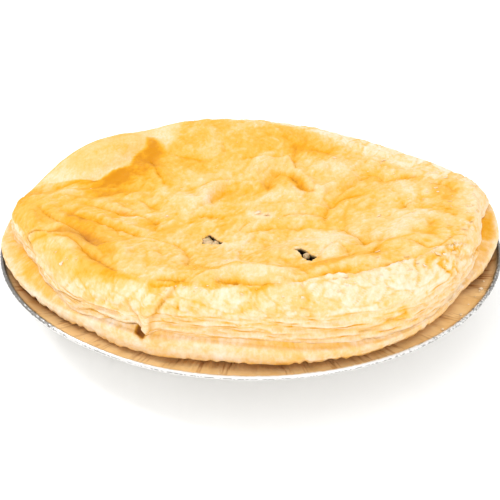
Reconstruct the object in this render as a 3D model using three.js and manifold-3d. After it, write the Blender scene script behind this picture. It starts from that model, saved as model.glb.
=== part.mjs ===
// Steak and onion pie: a raised puff pastry lid on a pastry case, full of filling, in the foil
// plate that it was baked in. Millimetres, +Z up. The origin is the middle of the plate's flat
// underside. Angles are in degrees, anticlockwise seen from above: 0 is +X, -90 is the front.

import * as THREE from 'three';
import { mergeVertices } from 'three/addons/utils/BufferGeometryUtils.js';
import Module from 'manifold-3d';

const wasm = await Module();
wasm.setup();

// Foil plate: a flat base, a sloped wall, a wide flange and a rolled rim.
const plateRadius = 115;
const rimLevel = 24; // middle of the rolled rim; the pastry's heights are measured from here
const rimBead = 1;
const rimBeadSteps = 6;
const rimBeadGap = 140; // the roll runs this many degrees each way from its outer side
const rimSway = [[-180, 0], [-150, 0.8], [-125, 1.1], [-106, 0], [-60, -0.2], [-20, 0], [100, 0.3]];
const foil = 0.5; // sturdier than real foil, so that the plate is a sound solid
const plateBaseRadius = 74;
const wallTopRadius = 97;
const wallTop = 19.5;
const flangeRadius = 112.4;
const flangeEdge = 22.6;

// Pastry case: it lines the plate, and its edge lies out over the flange.
const caseThickness = 4.5;
const caseInnerRadius = 69; // at the bottom
const fillingRadius = 92; // at the top
const fillingShoulder = 20.5; // height where the sloped wall turns up
const shoulderStep = 1; // the filling is this much narrower there
const caseLift = 0.5;
const rimLift = 1.7; // where the edge reaches out over the rolled rim
const rimApproach = 3; // the edge starts to lift this far inside the rolled rim
const footRound = 0.8;
const roundShare = Math.SQRT1_2; // where the middle of a rounded corner lies between its ends
const scallop = 0.35; // unevenness of the edge
const scallopWaves = [9, 14]; // its swells in one turn of the pie
const scallopShift = 1; // between the two, in radians
const caseOutline = [ // angle, radius
  [-180, 113.6], [-174, 114.3], [-168, 113.8], [-153, 110], [-130, 106.3], [-116, 107.4],
  [-98, 105.7], [-65, 109], [-39, 105.6], [-30, 104.8], [-16, 110], [-4, 113.9], [13, 113.5],
  [30, 109], [90, 107], [150, 110], [168, 112.3],
];
const caseEdgeTop = [ // angle, height
  [-180, 4.6], [-170, 3.7], [-151, 2.9], [-142, 3.8], [-133, 5.4], [-121, 7.9], [-112, 7.7],
  [-101, 8.2], [-92, 7.8], [-84, 6.4], [-75, 5], [-65, 3.9], [-45, 2.9], [-30, 2.7], [-20, 4],
  [-10, 6.8], [0, 9.4], [15, 9.6], [45, 7.5], [90, 7], [150, 5.6],
];
const edgeRound = [ // angle, radius of the ledge's outer corner
  [-180, 0.9], [-150, 0.8], [-135, 1.2], [-118, 2], [-90, 3], [-70, 2.2], [-55, 0.9], [-30, 0.8],
  [0, 1.6], [90, 1.5],
];

// Lid: a laminated edge, a rounded shoulder up to a crest, and a sunken, folded middle.
const seam = [ // the joint of case and lid: angle, height
  [-180, 5.6], [-174, 5.2], [-166, 5.8], [-158, 7.2], [-150, 8], [-140, 6.6], [-132, 6.7],
  [-127, 8.5], [-121, 9.8], [-113, 9.4], [-105, 9.2], [-98, 9.8], [-91, 9.5], [-84, 8.5],
  [-79, 7.4], [-74, 6.1], [-67, 4.9], [-60, 4.4], [-45, 3.9], [-30, 3.8], [-22, 5], [-12, 7.6],
  [-4, 9.8], [10, 10.6], [45, 8.4], [90, 8.2], [150, 7],
];
const lidFoot = [ // angle, radius
  [-180, 108.5], [-174, 108.8], [-167, 104.4], [-160, 102.2], [-152, 101.6], [-140, 103],
  [-128, 104.6], [-118, 104.2], [-110, 103.2], [-104, 102.4], [-90, 102], [-80, 102.6],
  [-72, 103.6], [-66, 104.8], [-60, 106], [-54, 106.2], [-48, 105.4], [-40, 104.4], [-30, 103.6],
  [-17, 103.8], [-6, 104.4], [-1, 107], [5, 111.3], [13, 110.6], [21, 108.4], [35, 102], [52, 97],
  [75, 97], [100, 98], [135, 102], [160, 106],
];
const edgeTop = [ // top of the laminated edge: angle, height
  [-180, 12], [-160, 12], [-140, 13], [-120, 15.5], [-100, 18], [-60, 17], [-30, 14.5],
  [-12, 13.5], [0, 13.2], [12, 12.2], [30, 12], [90, 14], [150, 13], [165, 11.5],
];
const crestRadius = [
  [-180, 98.5], [-150, 95], [-120, 93], [-90, 92], [-60, 93], [-30, 97], [-5, 101.5], [18, 98.5],
  [48, 86], [75, 86], [100, 87], [130, 92], [155, 96],
];
const crestTop = [ // angle, height
  [-180, 18.5], [-150, 22], [-120, 25], [-90, 27], [-60, 26.5], [-30, 24], [-5, 20.5], [10, 17.8],
  [22, 14], [35, 13.6], [48, 14.2], [62, 16.4], [75, 17.6], [100, 20.2], [112, 20.4],
  [125, 18.6], [135, 20.6], [146, 21.4], [155, 19.2], [163, 15.8], [170, 13.8], [175, 15.4],
];
const middleTop = 14;
const dishStart = 0.35; // the lid starts to rise at this share of the way out to the crest
const lidUnderside = 8.2; // over the filling
const fillingFlat = 80; // the filling's top is level out to here
const edgeBulge = 0.4;
const foldFade = [0.93, 1.05]; // the folds die out across the crest

// Folds of the lid: start x, y, end x, y, bow to the left of that line, height and half width.
// A negative height is a crease.
const folds = [
  [-74, 21, -51, 64, -2, -3.5, 5], // foot of the smooth lobe at the back left
  [-94, 3, -72, 6, 3, 2.5, 4.5],
  [-96, 18, -74, 23, 4, -3, 3.5],
  [-52, 44, -38, 21, 0, -2.5, 3.5],
  [-44, 40, -33, 16, 0, 2, 4],
  [-52, 8, -43, -8, 1, -2, 3],
  [-63, -4, -43, -17, -1, 2, 4],
  [-94, -14, -72, -40, 0, -3, 3.5],
  [-90, -29, -69, -55, 0, 2, 3.5],
  [-76, -20, -44, -37, 1, -2, 3.5],
  [-44, -37, -23, -72, 8, -2, 3.5],
  [-60, -14, -31, -14, -4, -1.8, 3.5],
  [-80, -48, -51, -81, 1, -3, 3.5], // behind the front left flap
  [-90, -46, -74, -54, 4, 2.2, 3.5],
  [-67, -72, -46, -86, 1, -2, 3.5],
  [3, 30, 22, 25, 16, 3, 4.5], // arched fold behind the middle
  [22, 26, 35, 0, 0, 2.5, 4],
  [14, 40, 27, 20, 0, -3, 3.5],
  [-4, 53, 22, 39, 10, -1.8, 3.5],
  [-23, -6, 3, 17, 10, 2.8, 4.5], // arched fold to its left
  [-19, 6, -2, 21, 1, -2.5, 3.5],
  [17, -5, 33, -7, 4, 2, 4],
  [18, -4, 34, -13, 5, -2.5, 3],
  [-9, -55, 18, -22, 10, -1.8, 3.5],
  [10, -54, 40, -45, 4, 2.5, 8], // swelling round the larger steam slit
  [41, -31, 47, -50, 1, -2.5, 3],
  [38, -41, 25, -84, -3, -1.8, 4],
  [38, 12, 63, 34, 3, -2.5, 3.5],
  [31, 12, 47, 42, 4, 1.8, 4],
  [64, 24, 86, 27, 1, -1.8, 3.5],
  [60, -49, 91, -47, -10, -1.8, 3.5],
  [88, 18, 92, -7, 3, -2, 4],
  [-39, -87, -26, -87, 2, -3, 4], // pockets behind the front crest
  [-12, -87, 5, -92, 0, -3, 4],
  [-14, -82, 9, -81, 6, 2, 6],
  [31, -81, 43, -72, 1, 1.5, 6],
];

// Steam slits cut right through the lid: middle x, y, length, width and direction.
const slits = [
  [-16.6, -34, 11, 7, -56],
  [22.4, -58.8, 16, 5.5, -63],
];

// Tucks where the lid's edge was pinched up: angle, width, height and depth into the edge.
const tucks = [
  [-113.5, 3.5, 3, 3],
  [-152.5, 4, 3, 2.5],
];

const plateSectors = 72;
const fillingSectors = 36;
const crustSectors = 108; // lid and case alike, so that their joint stays parallel
const lidRings = 17;
const ringSpread = 0.8; // below 1, the rings draw closer together towards the crest
const shoulderSteps = 3;
const slitSteps = 5;
const touchGap = 0.3;
const degree = Math.PI / 180;

function mix(from, to, share) {
  return from + (to - from) * share;
}

function smooth(low, high, value) {
  const t = Math.min(1, Math.max(0, (value - low) / (high - low)));
  return t * t * (3 - 2 * t);
}

// Value at an angle on the smooth closed curve through a list of [angle, value] knots.
function around(knots, angle) {
  const count = knots.length;
  const knot = (i) => {
    const turns = Math.floor(i / count);
    const [at, value] = knots[i - turns * count];
    return [at + 360 * turns, value];
  };
  const a = angle - 360 * Math.floor((angle - knots[0][0]) / 360);
  let i = 0;
  while (knot(i + 1)[0] <= a) i += 1;
  const [before, here, next, after] = [knot(i - 1), knot(i), knot(i + 1), knot(i + 2)];
  const span = next[0] - here[0];
  const t = (a - here[0]) / span;
  const slopeHere = (next[1] - before[1]) / (next[0] - before[0]) * span;
  const slopeNext = (after[1] - here[1]) / (after[0] - here[0]) * span;
  const ease = t * t * (3 - 2 * t);
  const leave = t * (1 - t) * (1 - t) * slopeHere;
  const arrive = t * t * (t - 1) * slopeNext;
  return mix(here[1], next[1], ease) + leave + arrive;
}

// Closed body with one section per sector. A section is a list of [radius, height] that runs
// from the axis at the top, outwards and round, back to the axis at the bottom.
function bodyOfSections(sectionAt, sectors) {
  const angles = Array.from({ length: sectors }, (_, i) => -180 + 360 * i / sectors);
  const sections = angles.map(sectionAt);
  const last = sections[0].length - 1;
  const points = [0, 0, sections[0][0][1]];
  for (let ring = 1; ring < last; ring += 1) {
    sections.forEach((section, i) => {
      const [radius, height] = section[ring];
      points.push(radius * Math.cos(angles[i] * degree), radius * Math.sin(angles[i] * degree), height);
    });
  }
  points.push(0, 0, sections[0][last][1]);
  const bottom = points.length / 3 - 1;
  const at = (ring, i) => 1 + (ring - 1) * sectors + i % sectors;
  const faces = [];
  for (let i = 0; i < sectors; i += 1) {
    faces.push(0, at(1, i), at(1, i + 1));
    for (let ring = 1; ring < last - 1; ring += 1) {
      faces.push(at(ring, i), at(ring + 1, i), at(ring + 1, i + 1));
      faces.push(at(ring, i), at(ring + 1, i + 1), at(ring, i + 1));
    }
    faces.push(at(last - 1, i), bottom, at(last - 1, i + 1));
  }
  const geometry = new THREE.BufferGeometry();
  geometry.setAttribute('position', new THREE.Float32BufferAttribute(points, 3));
  geometry.setIndex(faces);
  return geometry;
}

function toSolid(geometry) {
  const bare = geometry.clone();
  bare.deleteAttribute('normal');
  bare.deleteAttribute('uv');
  const merged = mergeVertices(bare);
  const vertProperties = merged.attributes.position.array;
  const triVerts = Uint32Array.from(merged.index.array);
  return new wasm.Manifold(new wasm.Mesh({ numProp: 3, vertProperties, triVerts }));
}

function toGeometry(solid) {
  const mesh = solid.getMesh();
  const geometry = new THREE.BufferGeometry();
  geometry.setAttribute('position', new THREE.BufferAttribute(mesh.vertProperties, 3));
  geometry.setIndex(new THREE.BufferAttribute(mesh.triVerts, 1));
  return geometry;
}

// Height that the folds add to the lid at a point.
function relief(x, y) {
  let height = 0;
  for (const [x0, y0, x1, y1, bow, rise, width] of folds) {
    const length = Math.hypot(x1 - x0, y1 - y0);
    const ux = (x1 - x0) / length;
    const uy = (y1 - y0) / length;
    const along = ((x - x0) * ux + (y - y0) * uy) / length;
    const t = Math.min(1, Math.max(0, along));
    const beyond = (along - t) * length;
    const across = (y - y0) * ux - (x - x0) * uy - 4 * bow * t * (1 - t);
    height += rise * Math.exp(-(across * across + beyond * beyond) / (width * width));
  }
  return height;
}

function lidSection(angle) {
  const foot = around(lidFoot, angle);
  const seamHeight = rimLevel + around(seam, angle);
  const shoulder = rimLevel + around(edgeTop, angle);
  const crest = around(crestRadius, angle);
  const top = rimLevel + around(crestTop, angle);
  const middle = rimLevel + middleTop;
  const section = [[0, middle + relief(0, 0)]];
  for (let i = 1; i <= lidRings; i += 1) {
    const share = Math.pow(i / lidRings, ringSpread);
    const radius = crest * share;
    const fold = relief(radius * Math.cos(angle * degree), radius * Math.sin(angle * degree));
    const fade = 1 - smooth(...foldFade, share);
    section.push([radius, mix(middle, top, smooth(dishStart, 1, share)) + fold * fade]);
  }
  for (let i = 1; i <= shoulderSteps; i += 1) {
    const turn = i / shoulderSteps * Math.PI / 2;
    section.push([mix(crest, foot, Math.sin(turn)), mix(shoulder, top, Math.cos(turn))]);
  }
  section.push([foot + edgeBulge, mix(seamHeight, shoulder, 0.5)]);
  section.push([foot, seamHeight]);
  section.push([fillingRadius, seamHeight]);
  section.push([fillingFlat, rimLevel + lidUnderside]);
  section.push([0, rimLevel + lidUnderside]);
  return section;
}

// Upright cutter with the outline of a steam slit.
function slitCutter([x, y, length, width, direction]) {
  const outline = new THREE.Shape();
  outline.moveTo(-length / 2, 0);
  outline.quadraticCurveTo(0, -width, length / 2, 0);
  outline.quadraticCurveTo(0, width, -length / 2, 0);
  const depth = 2 * middleTop;
  const settings = { depth, bevelEnabled: false, curveSegments: slitSteps };
  const cutter = new THREE.ExtrudeGeometry(outline, settings);
  cutter.rotateZ(direction * degree);
  cutter.translate(x, y, rimLevel);
  return toSolid(cutter);
}

// Wedge that opens a tuck in the lid's edge, just above the seam.
function tuckCutter([angle, width, height, depth]) {
  const foot = around(lidFoot, angle);
  const outline = new THREE.Shape();
  outline.moveTo(-width / 2, -height);
  outline.lineTo(width / 2, -height);
  outline.lineTo(width / 3, 0);
  outline.lineTo(-width / 2, height);
  outline.closePath();
  const cutter = new THREE.ExtrudeGeometry(outline, { depth: 2 * depth, bevelEnabled: false });
  cutter.rotateX(Math.PI / 2);
  cutter.rotateZ((angle + 90) * degree);
  const inner = foot - depth;
  const z = rimLevel + around(seam, angle);
  cutter.translate(inner * Math.cos(angle * degree), inner * Math.sin(angle * degree), z);
  return toSolid(cutter);
}

function makeLid() {
  let lid = toSolid(bodyOfSections(lidSection, crustSectors));
  for (const cutter of [...slits.map(slitCutter), ...tucks.map(tuckCutter)]) {
    lid = lid.subtract(cutter);
  }
  return toGeometry(lid);
}

function caseSection(angle) {
  const [slow, quick] = scallopWaves.map((waves) => waves * angle * degree);
  const uneven = scallop * (Math.sin(slow) + Math.sin(quick + scallopShift));
  const outer = around(caseOutline, angle) + Math.min(0, uneven);
  const edge = rimLevel + around(caseEdgeTop, angle);
  const round = around(edgeRound, angle);
  const overRim = smooth(flangeRadius - rimApproach, flangeRadius, outer);
  const low = rimLevel + mix(caseLift, rimLift, overRim);
  const bottom = foil + touchGap;
  const seamHeight = rimLevel + around(seam, angle) - touchGap;
  return [
    [0, bottom + caseThickness],
    [caseInnerRadius, bottom + caseThickness],
    [fillingRadius - shoulderStep, fillingShoulder],
    [fillingRadius, seamHeight],
    [around(lidFoot, angle), seamHeight],
    [outer - round, edge],
    [outer - round * (1 - roundShare), edge - round * (1 - roundShare)],
    [outer, edge - round],
    [outer, low + footRound],
    [outer - footRound, low],
    [wallTopRadius - 2 * touchGap, wallTop + bottom + touchGap],
    [plateBaseRadius - 2 * touchGap, bottom],
    [0, bottom],
  ];
}

function fillingSection(angle) {
  const top = rimLevel + lidUnderside - touchGap;
  const bottom = foil + caseThickness + 2 * touchGap;
  const clear = 2 * touchGap;
  const edgeClear = 6 * touchGap; // the edge stays well under the uneven joint
  return [
    [0, top],
    [fillingFlat, top],
    [fillingRadius - clear, rimLevel + around(seam, angle) - edgeClear],
    [fillingRadius - shoulderStep - clear, fillingShoulder],
    [caseInnerRadius - clear, bottom],
    [0, bottom],
  ];
}

function plateSection(angle) {
  const sway = around(rimSway, angle);
  const section = [
    [0, foil],
    [plateBaseRadius, foil],
    [wallTopRadius, wallTop + foil],
    [flangeRadius, flangeEdge + foil + sway],
  ];
  for (let i = 0; i <= rimBeadSteps; i += 1) {
    const turn = mix(rimBeadGap, -rimBeadGap, i / rimBeadSteps) * degree;
    const radius = plateRadius - rimBead + rimBead * Math.cos(turn);
    section.push([radius, rimLevel + sway + rimBead * Math.sin(turn)]);
  }
  section.push([flangeRadius, flangeEdge + sway]);
  section.push([wallTopRadius + foil, wallTop]);
  section.push([plateBaseRadius + foil, 0]);
  section.push([0, 0]);
  return section;
}

const pie = new THREE.Group();

function addPiece(name, geometry, color, roughness, metalness) {
  const mesh = new THREE.Mesh(geometry, new THREE.MeshStandardMaterial({ color, roughness, metalness }));
  mesh.name = name;
  pie.add(mesh);
}

addPiece('foil_plate', bodyOfSections(plateSection, plateSectors), 0xb9b7b0, 0.35, 1);
addPiece('pastry_case', bodyOfSections(caseSection, crustSectors), 0xf3d79c, 0.7, 0);
addPiece('filling', bodyOfSections(fillingSection, fillingSectors), 0x3a2213, 0.35, 0);
addPiece('pastry_lid', makeLid(), 0xf6c877, 0.6, 0);

export default pie;
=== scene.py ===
# Steak and onion pie in its foil plate: the finished look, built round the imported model.
# Sizes are in millimetres and angles in degrees, as in the model, and turn to metres as each piece
# is made. Angle 0 is +X and -90 is the front.
import itertools
import math
import bmesh
import bpy
import numpy as np
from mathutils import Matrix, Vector
from mathutils.bvhtree import BVHTree


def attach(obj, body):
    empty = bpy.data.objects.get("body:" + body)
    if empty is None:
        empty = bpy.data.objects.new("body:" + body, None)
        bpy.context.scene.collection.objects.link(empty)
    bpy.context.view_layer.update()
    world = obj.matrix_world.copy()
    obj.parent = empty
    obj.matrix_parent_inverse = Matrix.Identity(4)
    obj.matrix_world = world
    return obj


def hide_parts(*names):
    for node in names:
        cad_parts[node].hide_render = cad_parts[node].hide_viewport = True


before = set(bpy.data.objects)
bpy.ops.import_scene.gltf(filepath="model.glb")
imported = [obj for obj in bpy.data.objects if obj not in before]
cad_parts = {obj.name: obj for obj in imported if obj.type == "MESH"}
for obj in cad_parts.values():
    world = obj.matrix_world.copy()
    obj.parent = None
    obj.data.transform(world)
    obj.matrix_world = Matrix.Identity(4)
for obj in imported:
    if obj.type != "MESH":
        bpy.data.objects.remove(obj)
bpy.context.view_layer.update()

mm = 0.001


# helpers for shape

def mix(low, high, share):
    return low + (high - low) * share


def smooth(low, high, value):
    t = np.clip((value - low) / (high - low), 0, 1)
    return t * t * (3 - 2 * t)


def bell(value, width, middle=0):
    return np.exp(-((value - middle) / width) ** 2)


def polar(radius, angle):
    return radius * np.cos(np.radians(angle)), radius * np.sin(np.radians(angle))


def around(knots, angle):
    # value at each angle on the smooth closed curve through (angle, value) knots
    knots = np.array(knots, float)
    knots = np.vstack([knots[-2:] - [360, 0], knots, knots[:3] + [360, 0]])
    a = knots[2, 0] + np.mod(np.asarray(angle, float) - knots[2, 0], 360)
    i = np.clip(np.searchsorted(knots[:, 0], a, side="right") - 1, 1, len(knots) - 3)
    slope = (knots[i + 1, 1] - knots[i - 1, 1]) / (knots[i + 1, 0] - knots[i - 1, 0])
    slopeNext = (knots[i + 2, 1] - knots[i, 1]) / (knots[i + 2, 0] - knots[i, 0])
    span = knots[i + 1, 0] - knots[i, 0]
    t = (a - knots[i, 0]) / span
    ease = t * t * (3 - 2 * t)
    leave = t * (1 - t) ** 2 * slope * span
    arrive = t * t * (t - 1) * slopeNext * span
    return mix(knots[i, 1], knots[i + 1, 1], ease) + leave + arrive


def lumps(x, y, z, size, seed):
    # smooth random field from about -1 to 1, its lumps about this many millimetres across
    count = 40
    ways = np.random.default_rng(seed).normal(size=(count, count, count, 3))
    ways /= np.linalg.norm(ways, axis=3, keepdims=True)
    at = np.stack(np.broadcast_arrays(x, y, z), axis=-1) / size
    cell = np.floor(at).astype(int)
    part = at - cell
    ease = part ** 3 * (part * (part * 6 - 15) + 10)
    total = 0
    for corner in itertools.product((0, 1), repeat=3):
        i, j, k = ((cell[..., n] + corner[n]) % count for n in range(3))
        weight = np.prod(np.where(corner, ease, 1 - ease), axis=-1)
        total = total + weight * ((part - corner) * ways[i, j, k]).sum(axis=-1)
    return 1.6 * total


def atLeast(limit, value, soft):
    # the value, held above a limit without a sharp bend
    return limit + (value - limit + np.hypot(value - limit, soft)) / 2


def goOn(rows):
    # marks in full: a row without a start goes on from the end of the row before
    full = []
    for row in rows:
        full.append(row if len(row) > 5 else (*full[-1][2:4], *row))
    return full


def scaled(marks, across, up):
    # marks whose places are in other units, in millimetres
    return [(a * across, b * up, c * across, d * up, *rest) for a, b, c, d, *rest in marks]


def strokes(marks, x, y, sharp=False):
    # sum of strokes, soft or with a sharp middle line: start x, y, end x, y,
    # strength, half width and, where it isn't straight, bow to the left
    total = np.zeros(np.broadcast(x, y).shape)
    for i, (x0, y0, x1, y1, strength, width, *bow) in enumerate(marks):
        dx, dy = (x1 - x0, y1 - y0) if (x0, y0) != (x1, y1) else (0.001, 0)  # a spot has no length
        length = math.hypot(dx, dy)
        ux, uy = dx / length, dy / length
        along = ((x - x0) * ux + (y - y0) * uy) / length
        t = np.clip(along, 0, 1)
        beyond = (along - t) * length
        across = (y - y0) * ux - (x - x0) * uy - 4 * sum(bow) * t * (1 - t)
        if sharp:
            steep = 2.2  # one side falls this much faster, left and right in turn
            across = across * np.where(across * (-1) ** i > 0, 1, steep)
        away = np.sqrt(across ** 2 + beyond ** 2) / width
        total += strength * np.exp(-away if sharp else -away ** 2)
    return total


def laps(marks, x, y):
    # one sheet lying over another: a lip along the left of each line and a hollow along its right,
    # as for strokes but with the lip's height and reach; also how deep in the hollow, which is painted as
    # shade
    total = np.zeros(np.broadcast(x, y).shape)
    under = np.zeros(total.shape)
    for x0, y0, x1, y1, height, reach, *bow in marks:
        dx, dy = x1 - x0, y1 - y0
        length = math.hypot(dx, dy)
        along = ((x - x0) * dx + (y - y0) * dy) / length ** 2
        t = np.clip(along, 0, 1)
        across = ((y - y0) * dx - (x - x0) * dy) / length - 4 * sum(bow) * t * (1 - t)
        ends = bell((along - t) * length, 0.7)
        lip = smooth(-0.3, 0.3, across) * np.exp(-np.maximum(across, 0) / reach)
        hollow = bell(across, 0.7, -0.6)
        step = height * (lip - 0.4 * hollow) * ends
        total = np.where(np.abs(total) > np.abs(step), total, step)
        under = np.maximum(under, height * hollow * ends)
    return total, under


def cells(x, y, z, size, seed):
    # uneven cells about this many millimetres across: distance from each cell's border, and a
    # value from -1 to 1 for each cell
    count = 48
    rng = np.random.default_rng(seed)
    offset = rng.random((count, count, count, 3))
    tone = rng.uniform(-1, 1, (count, count, count))
    at = np.stack(np.broadcast_arrays(x, y, z), axis=-1) / size
    cell = np.floor(at).astype(int)
    nearest = np.full(at.shape[:-1], 9.0)
    second = np.full(at.shape[:-1], 9.0)
    value = np.zeros(at.shape[:-1])
    for step in itertools.product((-1, 0, 1), repeat=3):
        i, j, k = ((cell[..., n] + step[n]) % count for n in range(3))
        away = np.linalg.norm(cell + step + offset[i, j, k] - at, axis=-1)
        closer = away < nearest
        second = np.where(closer, nearest, np.minimum(second, away))
        value = np.where(closer, tone[i, j, k], value)
        nearest = np.minimum(nearest, away)
    return (second - nearest) * size / 2, value


def sideOf(line, x, y):
    # signed distance from a bent line of points, positive on its left
    nearest = np.full(np.shape(x), np.inf)
    side = np.zeros(np.shape(x))
    for (x0, y0), (x1, y1) in zip(line, line[1:]):
        dx, dy = x1 - x0, y1 - y0
        t = np.clip(((x - x0) * dx + (y - y0) * dy) / (dx * dx + dy * dy), 0, 1)
        away = np.hypot(x - x0 - t * dx, y - y0 - t * dy)
        left = (dx * (y - y0) - dy * (x - x0)) / math.hypot(dx, dy)
        rank = away - 0.001 * np.abs(left)  # past a corner, the piece that faces the point decides
        side = np.where(rank < nearest, np.sign(left) * away, side)
        nearest = np.minimum(nearest, rank)
    return side


def leaves(x, y, above, thickness, seed):
    # stacked leaves of pastry: how far each stands out, and the line under the edge of each, painted as
    # shade
    level = above / thickness
    layer = np.floor(level)
    share = smooth(0.7, 1, level - layer)
    out = [lumps(x, y, 31.7 * (layer + n), 20, seed) + 0.6 * lumps(x, y, 17.3 * (layer + n), 6, seed + 1)
           for n in (0, 1)]
    line = bell(share, 0.35, 0.4) * (share > 0) * np.clip(out[1] - out[0] + 0.25, 0, 1)
    return mix(out[0], out[1], share), line


def ringFaces(counts):
    # faces between rings of points, where a ring may have twice as many as the one before it
    faces = []
    start = 0
    for n, m in zip(counts, counts[1:]):
        a, b = start, start + n
        if n == 1:
            faces += [(a, b + i, b + (i + 1) % m) for i in range(m)]
        elif m == 1:
            faces += [(a + i, b, a + (i + 1) % n) for i in range(n)]
        elif n == m:
            faces += [(a + i, b + i, b + (i + 1) % m, a + (i + 1) % n) for i in range(n)]
        else:
            faces += [
                (a + i, b + 2 * i, b + 2 * i + 1, b + (2 * i + 2) % m, a + (i + 1) % n)
                for i in range(n)
            ]
        start += n
    return faces


def turnRound(count):
    return -180 + 360 * np.arange(count) / count


def ringMesh(rings, angle):
    # from rings of radius, height and other values: points, faces, and each value at every point;
    # a radius of 0 closes an end with one point
    x, y = polar(1, angle)
    rows = []
    for radius, height, *values in rings:
        place = (0, 0) if np.ndim(radius) == 0 and radius == 0 else (radius * x, radius * y)
        rows.append(np.stack(np.atleast_1d(*np.broadcast_arrays(*place, height, *values)), axis=1))
    table = np.concatenate(rows)
    return table[:, :3], ringFaces([len(row) for row in rows]), table[:, 3:].T


def surfaceNormals(points, faces):
    mesh = bpy.data.meshes.new("scratch")
    mesh.from_pydata(np.asarray(points).tolist(), [], faces)
    normals = np.empty(len(points) * 3)
    mesh.vertices.foreach_get("normal", normals)
    bpy.data.meshes.remove(mesh)
    return normals.reshape(-1, 3)


def makePiece(name, points, faces, material, paints=None, node=None):
    # a mesh piece from points in millimetres, with named values per point for its material
    mesh = bpy.data.meshes.new(name)
    mesh.from_pydata((np.asarray(points) * mm).tolist(), [], faces)
    for paint, values in (paints or {}).items():
        layer = mesh.attributes.new(paint, "FLOAT", "POINT")
        layer.data.foreach_set("value", np.asarray(values, np.float32))
    mesh.shade_smooth()
    mesh.materials.append(material)
    piece = bpy.data.objects.new(name, mesh)
    bpy.context.scene.collection.objects.link(piece)
    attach(piece, "root")
    if node:
        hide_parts(node)
    return piece


# helpers for materials

def linear(hexColour):
    # sRGB hex to linear colour
    channels = [int(hexColour[i:i + 2], 16) / 255 for i in (1, 3, 5)]
    return [c / 12.92 if c <= 0.04045 else ((c + 0.055) / 1.055) ** 2.4 for c in channels] + [1]


def newMaterial(name):
    material = bpy.data.materials.new(name)
    material.use_nodes = True
    tree = material.node_tree
    return material, tree, tree.nodes["Principled BSDF"]


def feed(tree, node, inputs):
    # a node's inputs: each a value, or another node's output
    for key, value in inputs.items():
        if isinstance(value, bpy.types.NodeSocket):
            tree.links.new(value, node.inputs[key])
        else:
            node.inputs[key].default_value = value


def add(tree, kind, inputs=None, stops=None, out=0, **settings):
    # one node, with its settings, inputs and ramp's stops; gives the output that is used
    node = tree.nodes.new("ShaderNode" + kind)
    for name, value in settings.items():
        setattr(node, name, value)
    feed(tree, node, inputs or {})
    for i, (place, hexColour) in enumerate(stops or []):
        elements = node.color_ramp.elements
        element = elements[i] if i < 2 else elements.new(place)
        element.position = place
        element.color = linear(hexColour)
    return node.outputs[out]


def perMillimetre(size):
    # noise scale for a pattern this many millimetres across, in object coordinates
    return 1 / (size * mm)


# Puff pastry, brushed with egg and baked. The egg gives the top a soft satin, and the colour goes
# from cream where the layers are bare to deep gold where egg lay in the folds.
puffPastry = {
    "colours": [
        (0.0, "#e5d6c1"), (0.16, "#e4caa5"), (0.32, "#e2ba7a"), (0.5, "#dfab4b"), (0.72, "#dc9b17"),
        (1.0, "#ca8508"),
    ],
    # painted shade, laid in crevices, under leaf edges, beside laps and in the hollow by the fold's tip
    "creviceShade": "#a8692b",
    # gravy stain; deep in the slits and in the hollow by the fold's tip it is painted shade as well
    "gravy": "#120904",
    "mottle": 3.2,  # blotches, mm
    "speckle": 1.1,  # the skin's fine blisters, mm; drawn about twice as coarse so that they show
    "layerLine": 0.35,  # bare layers, mm
    "drawn": (1, 0.55, 1),  # the skin is drawn out from front to back
    "layersLie": (0.08, 0.08, 1),  # bare layers are long and flat
    "mottling": 0.26,
}


def bakedPastry(name, look, blister, layered, roughness):
    material, tree, surface = newMaterial(name)
    place = add(tree, "TexCoord", out="Object")
    place = add(tree, "VectorMath", {0: place, 1: look["drawn"]}, operation="MULTIPLY")
    flat = add(tree, "VectorMath", {0: place, 1: look["layersLie"]}, operation="MULTIPLY")
    bake, paintedShade, gravyAndShade = (
        add(tree, "Attribute", out="Fac", attribute_name=paint) for paint in ("bake", "paintedShade", "gravyAndShade"))
    mottle, speckle, layers = (
        add(tree, "TexNoise", {
            "Vector": at, "Scale": perMillimetre(size), "Detail": detail, "Roughness": rough,
            "Distortion": bend,
        })
        for at, size, detail, rough, bend in (
            (place, look["mottle"], 4, 0.6, 0), (place, look["speckle"], 3, 0.65, 0),
            (flat, look["layerLine"] * 2, 2, 0.6, 0.3),
        ))
    shade = bake
    for pattern, share in ((mottle, look["mottling"]), (speckle, blister), (layers, layered)):
        part = add(tree, "Math", {0: pattern, 1: share, 2: -share / 2}, operation="MULTIPLY_ADD")
        shade = add(tree, "Math", {0: shade, 1: part}, operation="ADD")
    colour = add(tree, "ValToRGB", {"Fac": shade}, look["colours"])
    # painted shade in crevices, then gravy stain, which deep in the slits is painted shade as well, over the
    # baked colour
    for share, tint in ((paintedShade, "creviceShade"), (gravyAndShade, "gravy")):
        colour = add(tree, "Mix", {0: share, 6: colour, 7: linear(look[tint])}, out=2, data_type="RGBA")
    rough = add(tree, "MapRange", {
        "Value": shade, "From Min": 0.1, "From Max": 0.8, "To Min": roughness + 0.18, "To Max": roughness,
    })
    normal = {}
    for pattern, strength, depth in (
        (mottle, 0.5, 0.5), (speckle, 0.6, 0.25), (layers, min(1, layered * 4), 0.25),
    ):
        normal = {"Normal": add(tree, "Bump", {
            "Height": pattern, "Strength": strength, "Distance": depth * mm, **normal,
        })}
    feed(tree, surface, {
        "Base Color": colour, "Roughness": rough, **normal, "IOR": 1.45, "Specular IOR Level": 0.14,
        "Subsurface Weight": 0.1, "Subsurface Radius": (1, 0.55, 0.25), "Subsurface Scale": 1.2 * mm,
    })
    return material


lidPastry = bakedPastry("puff pastry, egg washed and baked", puffPastry, 0.36, 0.02, 0.5)
casePastry = bakedPastry("shortened pastry case, baked on foil", puffPastry, 0.34, 0.06, 0.6)


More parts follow.
